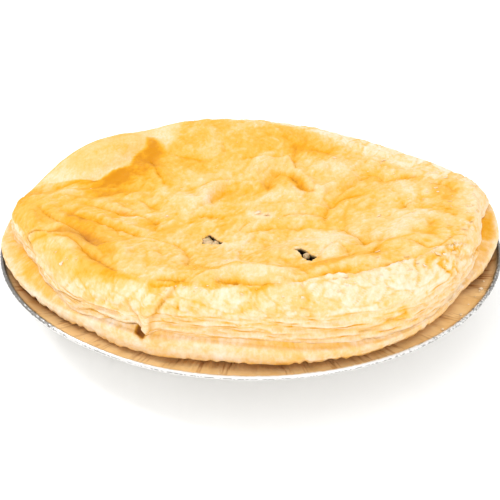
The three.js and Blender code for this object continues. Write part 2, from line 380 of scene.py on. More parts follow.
# Rolled aluminium foil, pressed to a plate: bright silver, and amber inside, both baked-on fat and a painted
# reflection of the golden pastry.
foilLook = {
    "silver": "#e4e3e1",
    "amber": "#f5d79f",
    "brown": "#e2b872",
    # painted reflection of the pastry and the dark room on the flange, and painted shade along its creases
    "reflectionAndCreaseShade": "#9c6028",
    "bareUnderFat": 0.3,
    "crease": "#4b4640",  # painted reflection on the rim, where it mirrors the dark beyond the light
    "rolling": 0.5,  # fine drawn lines, mm
    "stainAndReflection": 14,  # baked fat and painted reflection, mm
}


def pressedFoil(look):
    material, tree, surface = newMaterial("aluminium foil, pressed and fat-stained")
    place = add(tree, "TexCoord", out="Object")
    fatAndReflection, reflectionAndCreaseShade, crease = (
        add(tree, "Attribute", out="Fac", attribute_name=paint) for paint in ("fatAndReflection", "reflectionAndCreaseShade", "crease"))
    stainAndReflection, drawn = (
        add(tree, "TexNoise", {
            "Vector": place, "Scale": perMillimetre(size), "Detail": detail, "Roughness": 0.6,
        })
        for size, detail in ((look["stainAndReflection"], 4), (look["rolling"], 3)))
    film = add(tree, "ValToRGB", {"Fac": stainAndReflection}, [(0.3, look["brown"]), (0.55, look["amber"])])
    colour = linear(look["silver"])
    # amber of fat and painted reflection, then painted reflection and crease shade, then the rim's painted
    # reflection
    for share, tint in ((fatAndReflection, film), (reflectionAndCreaseShade, linear(look["reflectionAndCreaseShade"])), (crease, linear(look["crease"]))):
        colour = add(tree, "Mix", {0: share, 6: colour, 7: tint}, out=2, data_type="RGBA")
    feed(tree, surface, {
        "Base Color": colour,
        "Roughness": add(tree, "MapRange", {"Value": drawn, "To Min": 0.3, "To Max": 0.5}),
        "Normal": add(tree, "Bump", {"Height": drawn, "Strength": 0.35, "Distance": 0.06 * mm}),
        "Metallic": add(tree, "MapRange", {"Value": fatAndReflection, "To Min": 1, "To Max": look["bareUnderFat"]}),
    })
    return material


foilMaterial = pressedFoil(foilLook)


# Reduced beef gravy: almost black, wet and glossy.
def gravyMaterial():
    material, tree, surface = newMaterial("reduced beef gravy, wet")
    place = add(tree, "TexCoord", out="Object")
    shred = add(tree, "TexNoise", {
        "Vector": place, "Scale": perMillimetre(2), "Detail": 4, "Roughness": 0.6,
    })
    feed(tree, surface, {
        "Base Color": add(tree, "ValToRGB", {"Fac": shred}, [(0.35, "#0d0603"), (0.7, "#3a1d0c")]),
        "Normal": add(tree, "Bump", {"Height": shred, "Strength": 0.6, "Distance": 0.4 * mm}),
        "Roughness": 0.3,
    })
    return material


gravy = gravyMaterial()
print("materials ready")


# The lid's and case's shared outlines: angle and radius, or angle and height above the rim's middle.
rimLevel = 24
pie = {
    "caseOutline": [
        (-180, 113.6), (-174, 114.3), (-168, 113.8), (-153, 110), (-130, 106.3), (-116, 107.4),
        (-98, 105.7), (-65, 109), (-39, 105.6), (-30, 104.8), (-16, 110), (-4, 113.9), (13, 113.5),
        (30, 109), (90, 107), (150, 110), (168, 112.3),
    ],
    "caseEdgeTop": [
        (-180, 4.6), (-170, 3.7), (-151, 2.9), (-142, 3.8), (-133, 5.4), (-121, 7.9), (-112, 7.7),
        (-101, 8.2), (-92, 7.8), (-84, 6.4), (-75, 5), (-65, 3.9), (-45, 2.9), (-30, 2.7), (-20, 4),
        (-10, 6.8), (0, 9.4), (15, 9.6), (45, 7.5), (90, 7), (150, 5.6),
    ],
    "seam": [
        (-180, 5.6), (-174, 5.2), (-166, 5.8), (-158, 7.2), (-150, 8), (-140, 6.6), (-132, 6.7),
        (-127, 8.5), (-121, 10.1), (-117, 9.8), (-114.4, 10.8), (-113.2, 10.5), (-112.1, 8.7),
        (-111, 9.8), (-105, 9.2), (-98, 9.8), (-91, 9.5), (-84, 8.5), (-79, 7.4), (-74, 6.1),
        (-67, 4.9), (-60, 4.4), (-45, 3.9), (-30, 3.8), (-22, 5), (-12, 7.6), (-4, 9.8), (10, 10.6),
        (45, 8.4), (90, 8.2), (150, 7),
    ],
    "lidFoot": [
        (-180, 108.5), (-174, 108.8), (-167, 104.4), (-160, 102.2), (-152, 101.6), (-140, 103),
        (-128, 105), (-118, 104.6), (-114.5, 104), (-112.1, 106.4), (-110, 103.4), (-104, 102.4),
        (-90, 102), (-80, 102.6), (-72, 103.6), (-66, 104.8), (-60, 106), (-54, 106.4), (-48, 105.6),
        (-40, 104.4), (-30, 103.6), (-17, 103.8), (-6, 104.4), (-1, 107), (5, 111.3), (13, 110.6),
        (21, 108.4), (35, 102), (52, 97), (75, 97), (100, 98), (135, 102), (160, 106),
    ],
    "edgeTop": [
        (-180, 12), (-160, 12), (-140, 13), (-120, 15.5), (-100, 18), (-60, 17), (-30, 14.5),
        (-12, 13.5), (0, 13.2), (12, 12.2), (30, 12), (90, 14), (150, 13), (165, 11.5),
    ],
    "crestRadius": [
        (-180, 98.5), (-150, 95), (-120, 93), (-90, 92), (-60, 93), (-30, 97), (-5, 101.5), (18, 98.5),
        (48, 86), (75, 86), (100, 87), (130, 92), (155, 96),
    ],
    "crestTop": [
        (-180, 18.5), (-150, 22), (-120, 25), (-90, 27), (-60, 26.5), (-30, 24), (-5, 20.5), (10, 17.8),
        (22, 14), (35, 13.6), (48, 14.2), (62, 16.4), (75, 17.6), (100, 20.2), (112, 20.4), (125, 18.6),
        (135, 20.6), (146, 21.4), (155, 19.2), (163, 15.8), (170, 13.8), (175, 15.4),
    ],
    "middleTop": 14,
    "dishStart": 0.35,
    "fillingRadius": 92,
    "fillingFlat": 80,
    "lidUnderside": 8.2,
    "touchGap": 0.3,
    "arcPerDegree": 1.78,  # round the pie's side, mm
}


# The lid: one risen sheet, sunk in the middle and rucked into folds, with a laminated edge.
lid = {
    "sectors": (200, 400, 800),  # in the middle, further out and at the rim
    "spread": (0.2, 0.45),  # shares of the way out where the number doubles
    "topRings": 83,
    "shoulderRings": 26,
    "edgeRings": 20,
    "foldFade": (0.93, 1.05),
    "slot": (-113.2, 0.8, 1.2),  # where the fold's edge stands off the ledge: angle, half width, height
    "bakedOn": 0.7,  # how deep the lid's lower edge has baked into the ledge below it
    "edgeBulge": 0.6,
    # rounded ridges, or hollows where negative: start x, y, end x, y, height, half width and bow to
    # the left if any; a row without a start goes on from the end of the one before, here and below
    "ridges": [
        (-62, 24, -51, 48, -2.6, 9), (-88, 8, -76, 12, 2, 4.5), (-82, 34, -60, 58, 1.6, 11),
        (-50, 38, -42, 26, 1.6, 3.5, 1), (-60, 9, -51, 7, 1.6, 4, 1), (-63, -6, -44, -14, 1.6, 3.5, -2),
        (-66, -20, -48, -29, 1.3, 3, -1), (-83, -34, -74, -48, 1.8, 3.5, 1),
        (-90, -46, -76, -53, 2.2, 3.5, 3), (-44, -40, -34, -46, 1, 3), (-22, 3, 3, 20, 2.4, 3.8, 11),
        (-13, 11, -5, 18, -0.9, 4), (2, 34, 18, 44, 2.2, 3.6, 5), (25, 27, 1.8, 3.2, 1),
        (26, 26, 34, 9, 1.6, 3.2), (16, 22, 20, 12, 1.1, 4), (22, -2, 35, -4, 1.1, 2.4, 1),
        (19, -15, 31, -16, 1.4, 4.5, 1), (10, 22, 13, 34, -1.2, 3.5), (4, 48, 17, 48, 1.6, 3.5, 4),
        (36, 38, 40, 42, 1.8, 8), (31, 36, 41, 50, 0.9, 2.5, -3), (30, 13, 50, 28, 1.5, 3.5),
        (12, -53, 36, -44, 2.4, 8, 4), (34, -57, 36, -50, 1.4, 4), (62, -40, 68, -28, 1.2, 4),
        (-14, -82, 9, -81, 2, 6, 6), (31, -80, 43, -70, 1.4, 6, 1), (-30, 58, -22, 76, 0.9, 3, -4),
        (-54, -48, -52, -62, 0.9, 3), (58, -52, 68, -62, 1.2, 5, 2), (70, 36, 88, 32, 1, 5, -2),
        (-34, 8, -26, 0, 1, 5), (-34, 34, -24, 30, 0.8, 5), (60, 12, 66, 4, 0.8, 4),
    ],
    # creases: sharp valleys, with their depth
    "creases": [
        (-97, 15, -76, 24, 1, 2, 1), (-60, 43, 0.8, 2.4), (-54, 58, 0.8, 2.4),
        (-50, 46, -45, 30, 1.4, 2.2), (-42, 22, 1.3, 2.2), (-47, 18, -47, 9, 0.9, 2),
        (-52, 5, -44, -4, 1.4, 2.2), (-74, -5, -56, -13, 1.6, 2.2, -1), (-42, -18, 2, 2.2, 1),
        (-42, -26, 1.6, 2.2), (-80, -18, -50, -33, 1.8, 2.2, -1), (-32, -42, 1.6, 1.8, -2),
        (-26, -68, 1.8, 2.2, 3), (-95, -12, -80, -30, 2.2, 2.4, -1), (-69, -43, 2.8, 2.8, 1),
        (-94, -40, -78, -46, 2.2, 2, -1), (-64, -62, 2.8, 2.6), (-52, -81, 2.8, 3, 1),
        (-70, -44, -60, -60, 1.2, 2, 1), (-68, -74, -50, -82, 1.8, 2), (-39, -88, 2, 2.2),
        (-39, -89, -30, -86, 3, 2.6, 1), (-12, -87, 5, -92, 3, 3), (-60, -27, -56, -39, 1, 2.2),
        (-26, -17, -22, -10, 0.8, 2), (-12, -13, 1.1, 2.2, 1), (-22, -67, -14, -78, 1.5, 2.2),
        (-98, -16, -92, -27, 1.2, 2, 2), (-40, -46, -36, -60, 0.9, 2.2), (-58, -55, -55, -69, 1, 2.6),
        (-27, -6, -21, 0, 0.9, 2), (-12, 19, 1.1, 2, -1), (-4, 22, 0.9, 2), (-29, 17, -10, 28, 1, 2, 1),
        (0, 22, 0.8, 2, 1), (-5, -24, 2, -13, 0.9, 2, 1), (-37, 51, -25, 47, 1.2, 2), (-20, 48, 0.9, 2),
        (-14, 62, -13, 56, 0.9, 2), (15, 37, 20, 31, 1.1, 1.8), (24, 20, 1.9, 1.9), (29, 14, 1.7, 1.9),
        (37, 0, 1.2, 1.8, 1), (-4, 50, 12, 51, 1.1, 2, 1), (22, 38, 1.6, 2, 3),
        (23, 60, 22, 46, 1, 2.2), (8, 18, 14, 36, 1.1, 2, 1), (39, 2, 52, 11, 1.3, 2, 2),
        (38, 3, 58, 32, 1.3, 2.2, 2), (62, -16, 80, 2, 1.1, 2.4, 1), (46, -49, 63, -45, 1.2, 2, 1),
        (81, -8, 92, -20, 0.7, 1), (84, -7, 95, -19, 0.7, 1), (79, -11, 90, -23, 0.6, 1),
        (54, 34, 64, 29, 1.8, 2.2, 3), (64, 27, 80, 30, 1.6, 2), (89, 26, 1.3, 2, 1),
        (89, 20, 95, 10, 1.6, 2.2), (89, -2, 1.1, 2.6), (60, 61, 80, 51, 1.2, 2.6),
        (28, 59, 42, 57, 0.8, 3.2), (-1, -25, 20, -22, 1.3, 1.9, 2), (38, -23, 0.9, 1.9),
        (16, -10, 34, -11, 1.4, 1.7, 3), (37, 0, 33, -17, 1.8, 1.8, -1),
        (40, -23, 48, -48, 1.8, 2.2, 1), (28, -62, 35, -46, 1.2, 1.9, 2), (40, -62, 1.2, 1.9, 2),
        (50, -60, 58, -45, 1.1, 1.9, 1), (72, -57, 1.4, 1.9, 2), (82, -52, 1.1, 1.9, -1),
        (40, -86, 60, -72, 1.5, 1.7, 1), (43, -8, 42, -21, 0.9, 2.2), (70, -4, 73, -15, 1, 2.6),
        (79, -26, 74, -41, 0.9, 2.6), (10, -84, 20, -89, 1.2, 2.2), (24, -86, 46, -76, 1, 1.8, 1),
        (84, -38, 78, -62, 1.2, 1.9, 2), (2, -30, -4, -60, 0.8, 2.2, -3), (12, -60, 22, -82, 0.9, 2.2),
        (-90, -2, -84, -16, 0.8, 2.4),
    ],
    # the pale lobe at the back left ends at this line, and the deepest gold lies along it
    "lobeLine": [
        (-115, 14), (-99.8, 21), (-92, 22.5), (-82.7, 24), (-76, 24), (-73.5, 24), (-70.2, 27.5),
        (-67.3, 31.5), (-63.5, 34.5), (-60, 37.5), (-59, 44.5), (-56.8, 49.5), (-52.8, 55.5),
        (-53.8, 65.5), (-50.3, 66.5), (-46.8, 62), (-42.8, 57), (-38.8, 64), (-37, 78), (-36, 95),
    ],
    "lobeBrowning": [
        (-80, 34, -60, 52, 0.14, 9), (-86, 50, -58, 66, 0.1, 9), (-98, 16, -84, 24, -0.06, 3),
    ],
    "lobeGlow": 0.34,
    "lobeGlowReach": 9,
    # small pits where the skin has flaked off: x, y, size and depth
    "pits": [
        (73, -52, 1.5, 0.8), (70, -54, 1, 0.5), (77, -62, 1.2, 0.7), (74, -66.5, 1.1, 0.6),
        (68.5, -66, 0.9, 0.4), (54, -79, 1, 0.5), (25, -90, 0.9, 0.4), (-12, -93, 1, 0.4),
    ],
    # how brown the skin is, or how pale where negative
    "browning": [
        (-90, -30, -80, -42, 0.16, 8), (-104, 12, -104, -30, 0.14, 8), (-44, 84, -20, 84, 0.12, 8),
        (22, 80, 46, 74, 0.16, 9), (5, 60, 40, 50, 0.08, 10), (50, 50, 80, 36, 0.1, 8),
        (72, 34, 80, 24, 0.12, 6), (-10, -22, 0, -26, 0.1, 5), (-80, -60, -62, -78, 0.12, 8),
        (80, -22, 88, -32, -0.12, 5), (-50, 60, -49, 40, 0.24, 5), (-47, 18, -46, 9, 0.16, 3),
        (-64, 30, -50, 30, 0.12, 8), (71, -20, 77, -16, -0.3, 3), (59, -44, 69, -30, -0.2, 4),
        (-26, 4, -22, 12, -0.06, 4), (30, 44, 44, 40, -0.08, 6), (12, 10, 22, 16, -0.1, 5),
        (-74, 12, -58, 12, 0.24, 5), (-46, 40, -40, 22, 0.2, 5, 1), (-60, 22, -48, 34, 0.16, 13),
        (-40, 62, 32, 66, 0.16, 12), (-34, 46, -18, 46, 0.14, 5), (-30, 38, -26, 36, 0.14, 6),
        (24, 58, 38, 57, 0.24, 5), (5, 14, 12, 22, 0.1, 5), (18, 48, 21, 40, 0.16, 4),
        (20, 30, 25, 18, 0.3, 2.6), (9, 20, 13, 34, 0.14, 4), (-15, 8, -4, 19, 0.14, 5),
        (-37, 50, -24, 46, 0.12, 3), (-34, 42, -24, 38, 0.12, 4), (-92, 4, -62, -4, 0.1, 12),
        (-84, -20, -58, -42, 0.14, 9), (-84, -26, -68, -46, -0.07, 4), (-76, -50, -67, -60, 0.12, 3.5),
        (-78, -20, -60, -28, 0.14, 4), (-68, -42, -56, -58, 0.22, 4), (-62, -72, -52, -83, 0.22, 3),
        (-50, 8, -43, -6, 0.16, 3.5), (-45, -20, -41, -26, 0.16, 4), (-66, -42, -58, -38, -0.1, 5),
        (-46, 62, -41, 54, -0.06, 3.5), (-30, 6, -26, -4, 0.06, 7), (102, 8, 101, -34, -0.26, 7),
        (-78, -20, -70, -34, 0.16, 6), (14, -88, 30, -84, -0.1, 4), (-26, 30, -28, 22, -0.1, 4),
        (-40, -8, -8, -14, -0.05, 16), (-8, 58, 4, 60, -0.1, 3), (4, 46, 12, 50, -0.1, 4, 1),
        (-56, -50, -54, -60, -0.12, 4), (-16, -46, -8, -44, -0.08, 7), (-20, -62, -8, -66, -0.12, 7),
        (24, -34, 38, -34, -0.26, 7), (31, -40, 33, -62, -0.3, 4, -1), (1.5, -9, 8.5, -10.5, -0.3, 2.6),
        (-10, -80, 6, -80, -0.16, 5), (16, -2, 20, -10, -0.1, 4), (60, -38, 67, -28, -0.2, 5),
        (48, -30, 52, -12, -0.08, 5), (58, 46, 92, 30, -0.08, 8, -3), (46, 72, 66, 56, 0.04, 8),
        (84, -6, 96, -18, -0.16, 6), (44, 24, 58, 30, 0.14, 4, 1), (42, 4, 55, 16, 0.12, 3.5),
        (66, 26, 88, 26, 0.12, 4, 2), (93, 14, 88, -14, 0.2, 5), (70, -2, 76, -14, 0.12, 5),
        (33, -8, 34, -18, 0.16, 3), (66, -56, 80, -52, -0.12, 6, -2), (48, -64, 62, -70, 0.16, 5),
        (78, -26, 76, -40, 0.14, 5), (6, -30, 4, -40, 0.1, 5), (-24, -12, -14, -12, 0.14, 3.5, 2),
        (-38, -88, -30, -86, 0.06, 4), (-12, -84, 4, -86, -0.14, 5), (-36, -82, -26, -80, -0.08, 5),
        (-66, -76, -48, -84, 0.14, 3),
    ],
    # how brown each part is before its marks: 0 is raw cream and 1 the deepest gold
    "goldenTop": 0.33,
    "palestSkin": 0.18,
    "lobeTan": 0.25,
    "layersTan": 0.2,
    "creamEdge": 0.17,
    "creaseLine": 0.55,  # width of the brown line in a crease, as a share of the crease's own
    "creaseBrown": (0.17, 1.8),  # brown for each mm of depth, and the depth where it stops
    "creaseShuts": (1.3, 0.3, 0.4),  # depth from which a crease is painted dark as shade, share for each mm, and most
    "farSideShade": 0.32,  # painted shade on the side of the lid that lies this way from the middle
    "shadedSide": (-0.45, 0.9),
    # how far out the browned skin reaches: 1 is the crest, 2 the top of the laminated edge
    "skinReach": [
        (-180, 1.9), (-172, 1.78), (-162, 1.8), (-152, 1.9), (-138, 1.6), (-126, 1.3), (-117, 1.16),
        (-110, 1.03), (-90, 1), (-60, 1), (-52, 1.03), (-43, 1.06), (-36, 1.16), (-29, 1.5),
        (-22, 2.05), (-8, 2.3), (0, 1.9), (6, 1.3), (12, 0.97), (30, 0.93), (60, 0.95), (90, 1.2),
        (120, 1.5), (150, 1.8),
    ],
    # half width of the change from skin to bare pastry: narrow where the skin is torn
    "skinEdge": [
        (-180, 0.3), (-172, 0.09), (-161, 0.09), (-152, 0.4), (-118, 0.4), (-109, 0.05), (-100, 0.012),
        (-34, 0.012), (-24, 0.06), (0, 0.12), (30, 0.08), (60, 0.1), (100, 0.3), (150, 0.5),
    ],
    # where the skin has cracked into flakes
    "flaky": [
        (66, -72, 84, -56, 0.85, 4, -3), (84, -54, 88, -62, 0.7, 3), (92, -42, 96, -30, 0.6, 4),
        (96, -8, 90, 24, 0.3, 6), (44, -84, 60, -76, 0.35, 3),
    ],
    "flakeSize": 6.5,
    # where the skin is taut
    "smoothParts": [
        (-80, -42, -60, -70, 0.9, 13, 2), (-100, -10, -92, -26, 0.7, 7), (-46, -88, -40, -98, 0.6, 5),
        (-24, 44, 34, 26, 0.55, 34),
    ],
    "plateSize": 10,  # plates of bare pastry with cracks between them
    "lean": 0.3,  # the wrinkles lean this much to the right
    "stretch": 0.5,  # and are drawn out from front to back
    # tan patches on the bare pastry
    "bareBrowning": [
        (-28, -89, -14, -91, 0.16, 2.4), (-10, -91, 3, -93, 0.14, 2.6), (-36, -84, -28, -88, 0.2, 2.4),
        (-37, -90, -24, -89, 0.26, 2.6, 1), (-24, -88, -4, -94, 0.12, 2.4, 1),
        (0, -95, 12, -90, 0.2, 2.2), (24, -89, 40, -84, 0.14, 2.4), (62, -72, 78, -62, 0.03, 4),
        (80, -58, 90, -46, 0.08, 4), (93, -40, 99, -20, 0.14, 5), (-20, -98, -8, -100, 0.08, 3),
        (34, -92, 72, -74, -0.07, 13), (-66, -78, -42, -96, 0.05, 8),
    ],
    # folds on the side: angle and height above the rim at start and end, then as above
    "sideRidges": [
        (-151, 13, -120, 15.2, 0.5, 0.8), (-62, 14, -48, 12.5, 0.5, 1.4, 0.6),
        (-40, 16, -28, 13, 0.7, 1.6), (-24, 15, -14, 13.5, 0.6, 1.4),
    ],
    "sideCreases": [
        (-110, 20, -107.5, 24, 0.6, 0.7), (-115.6, 9.4, -112.8, 8.8, 3, 1),
        (-106, 22.5, -106.4, 17.7, 0.7, 0.5, 0.5), (-102.4, 22.8, -103.2, 19.4, 0.8, 0.7, -0.5),
        (-109.5, 14.2, -100.8, 15.9, 0.5, 0.4), (-154.5, 9.4, -150.4, 10.6, 2, 0.9),
        (-127.4, 10, -122.6, 10.4, 1.7, 0.9, 1), (-121.6, 9.8, -117.6, 9.9, 1.2, 0.7),
        (-127, 15.3, -124, 17.6, 0.5, 0.5, 0.4), (-117.4, 17.2, 0.6, 0.5),
        (-66.6, 8.2, -62.4, 7.4, 1.4, 0.9), (-60, 10.4, -56, 8.9, 0.9, 0.5, 0.4),
        (-81.6, 21.9, -77.6, 20.6, 0.8, 0.5, 0.5), (-96, 13.2, -78, 12.6, 0.6, 0.5, 0.3),
        (-84, 10.8, -58, 8.6, 0.6, 0.5, 0.2), (-44, 9.5, -24, 9.6, 0.8, 0.5),
        (-58, 7, -34, 6.4, 0.8, 0.5, 0.2), (-70, 7.4, -50, 6, 0.7, 0.5),
    ],
    # sheets that lie over what is beside them: angle and u at start and end, then height and reach
    # of the lip, which is on the left of each line
    "sideLaps": [
        (-111.9, 3, -111.2, 2.1, 0.9, 1.5, -0.2), (-109, 1.54, 0.9, 1.5, 0.3), (-107.8, 1.2, 0.7, 1.5),
        (-117, 1.7, -114, 2.17, 0.6, 2), (-112.6, 2.6, 0.8, 1.5), (-112.3, 3, 1, 1.5),
        (-142, 0.9, -150.8, 0.93, 1, 3), (-154.5, 1.02, 1.5, 3), (-157.5, 1.36, 1.8, 3, 0.3),
        (-160, 1.64, 1.9, 3, 0.3), (-156.8, 1.69, 1.8, 2.5), (-153.8, 1.73, 1.8, 3), (-151, 1.93, 2, 3),
        (-147.2, 2.3, 2, 3, -0.3), (-141.5, 2.43, 1.9, 3, -0.3), (-136.2, 2.26, 1.5, 3, -0.2),
        (-130, 2.2, 1, 3), (-152, 1.78, -149.4, 1.98, 0.6, 0.5), (-146, 2.2, 0.6, 0.5),
        (-139, 2.32, 0.6, 0.5), (-172, 1.95, -161.5, 2.04, 1.8, 2.5), (-160.2, 2.4, 1.6, 2.5),
        (-25, 2.2, -35, 1.66, 0.6, 2), (-36, 2.3, 0.6, 2), (-12, 2.9, -25, 2.2, 0.8, 2.5),
    ],
    # cracks in the flaky part, the same way, with depth and half width
    "cracks": [
        (-38, 1.27, -40.5, 1.39, 0.9, 0.5), (-42, 1.53, 0.8, 0.5), (-41, 1.68, 0.8, 0.5),
        (-40, 1.86, 0.9, 0.5), (-37, 2.22, 0.9, 0.5, 0.3), (-38, 1.27, -39, 1.54, 0.7, 0.5),
        (-41, 1.68, 0.7, 0.5), (-43, 1.17, -45.2, 1.27, 0.7, 0.5), (-46.5, 1.32, 0.9, 0.6),
        (-47.8, 1.41, 0.6, 0.4), (-48.5, 1.17, -49.8, 1.36, 0.8, 0.6), (-35.4, 1.3, -34, 1.5, 0.9, 1.1),
        (-37, 2.26, -41.2, 2.17, 0.5, 0.5), (-49, 1.86, -49.2, 2.17, 0.5, 0.4), (-51, 2.17, 0.5, 0.4),
        (-55.8, 2.22, -55, 2.39, 1, 0.8), (-60.5, 2.45, -56.5, 2.45, 0.6, 1.8),
        (-22, 2.3, -17, 2.6, 0.8, 2.2), (-28, 1.1, -26, 1.35, 0.7, 0.5),
        (-30, 1.45, -33, 1.62, 0.6, 0.5), (-106.2, 1.66, -105.8, 1.78, 0.8, 0.45),
        (-106, 1.95, 0.7, 0.4), (-102.2, 1.63, -102.8, 1.76, 0.8, 0.45),
        (-101, 1.63, -100, 1.63, 0.7, 0.4), (-99.2, 1.63, -99.2, 1.78, 0.7, 0.4),
        (-95, 1.53, -94.8, 1.55, 0.7, 0.6), (-92.2, 1.76, -92, 1.81, 0.7, 0.5),
        (-90.2, 1.69, -90.2, 1.72, 0.7, 0.5), (-109.2, 2.22, -105, 2.17, 0.5, 0.4),
        (-100, 2.04, 0.5, 0.4), (-97, 2.26, -93.2, 2.26, 0.4, 0.4), (-89.5, 2.22, 0.5, 0.4),
        (-98.2, 2.95, -94.5, 2.95, 0.6, 0.7), (-103.8, 2.52, -102, 2.52, 0.6, 0.5),
        (-124, 1.9, -119, 2, 0.5, 0.5), (-132, 1.75, -127, 1.8, 0.4, 0.4),
        (-173, 1.75, -166, 1.84, 0.7, 0.4), (-160.5, 1.88, 0.7, 0.4),
        (-113.5, 1.2, -108.2, 1.17, 0.7, 0.5), (-98.5, 0.99, -93.8, 1.02, 0.8, 0.5),
        (-96.5, 0.99, -93.2, 0.95, 0.8, 0.6), (-90, 0.97, 0.8, 0.5),
        (-112.4, 1.02, -109, 0.96, 0.8, 0.5), (-106, 0.98, 0.7, 0.5),
        (-89.8, 1.17, -88, 1.19, 0.8, 0.5), (-92.5, 1.25, -91, 1.25, 0.6, 0.7),
    ],
    "sideLength": 12,  # down the side from one whole u to the next, mm
    "layer": 1.7,
    "thinLayer": 0.8,
    # outlines, anticlockwise
    "slits": [
        [(-20.8, -38.6), (-16.1, -38.8), (-12.8, -38.1), (-11.8, -35.4), (-15, -32.9), (-16.7, -30.2),
         (-18.4, -28.3), (-19.8, -30.4), (-21.1, -33)],
        [(17.6, -52.9), (19.3, -54.4), (20.1, -57.6), (21.6, -62.8), (22.9, -66.2), (24.5, -67), (25.9, -64),
         (26.9, -60.5), (25, -56.8), (23.2, -53.4), (21.7, -51.8), (20.2, -51.4), (18.7, -52)],
    ],
    # down each slit's wall: how far, and how dark, partly gravy stain and partly painted shade
    "slitWall": [(0.3, 0.1), (0.4, 0.8), (0.7, 1), (4.8, 1)],
    "slitRefining": (2, 1, 0.6),  # mm round each slit within which faces are halved, in turn
    "slitSearch": 14,
    "slitSag": 0.2,
    "slitBrown": 0.3,
    # wrinkles from the largest to the finest: pillows, rucks, crinkles, crisp edges and grain, mm
    "wrinkleSizes": (16, 7.5, 3.6, 2.3, 1.8),
    # how far each kind pushes the surface, mm
    "topRelief": (1.35, 0.8, 0.55, 0.34, 0.2),
    "shoulderRelief": (0.45, 0.3, 0.2, 0.12, 0.12),
    "edgeRelief": (0, 0, 0.2, 0.15, 0.14),
    # how much paler the high places of each kind are: in the egg-washed skin and the bare pastry
    "skinShade": (0.22, 0.2, 0.18, 0.22, 0.14),
    "bareShade": (0, 0.08, 0.08, 0.1, 0.1),
}
for marks in ("ridges", "creases", "sideCreases", "sideLaps", "cracks"):
    lid[marks] = goOn(lid[marks])


def lidRing(u, angle):
    # radius and height of the lid before its wrinkles; u is 0 in the middle, 1 at the crest, 2 at the
    # top of the edge, 3 at the seam and 4 to 6 underneath
    foot, crest = (around(pie[name], angle) for name in ("lidFoot", "crestRadius"))
    seam, shoulder, top = (
        rimLevel + around(pie[name], angle) for name in ("seam", "edgeTop", "crestTop"))
    if u <= 1:
        radius = crest * u
        x, y = polar(radius, angle)
        fold = strokes(lid["ridges"], x, y) - strokes(lid["creases"], x, y, sharp=True)
        fold = fold * (1 - smooth(*lid["foldFade"], u))
        return radius, mix(rimLevel + pie["middleTop"], top, smooth(pie["dishStart"], 1, u)) + fold
    if u <= 2:
        turn = (u - 1) * math.pi / 2
        return mix(crest, foot, math.sin(turn)), mix(shoulder, top, math.cos(turn))
    middle, width, lift = lid["slot"]
    seam = seam - lid["bakedOn"] + lift * bell(angle, width, middle)
    if u <= 3:
        return foot + lid["edgeBulge"] * math.sin((u - 2) * math.pi), mix(shoulder, seam, u - 2)
    if u <= 4:
        return mix(foot, pie["fillingRadius"], u - 3), seam
    return mix(pie["fillingFlat"], 0, u - 5) + 0 * angle, rimLevel + pie["lidUnderside"] + 0 * angle


def lidGrid():
    # points, faces, and each point's u and angle
    steps = [np.zeros(1)]
    for u, count in enumerate((lid["topRings"], lid["shoulderRings"], lid["edgeRings"])):
        steps.append(u + np.linspace(0, 1, count + 1)[1:])
    points, us, angles = [], [], []
    for u in [*np.concatenate(steps), 3.3, 4, 5, 6]:
        count = 1 if u in (0, 6) else lid["sectors"][sum(u > limit for limit in lid["spread"])]
        angle = turnRound(count)
        radius, height = lidRing(u, angle)
        x, y = polar(radius, angle)
        points.append(np.stack([x, y, height], axis=1))
        us.append(np.full(count, u))
        angles.append(angle)
    faces = ringFaces([len(ring) for ring in points])
    return np.concatenate(points), faces, np.concatenate(us), np.concatenate(angles)


def weighed(fields, weights):
    return sum(field * weight for field, weight in zip(fields, weights))


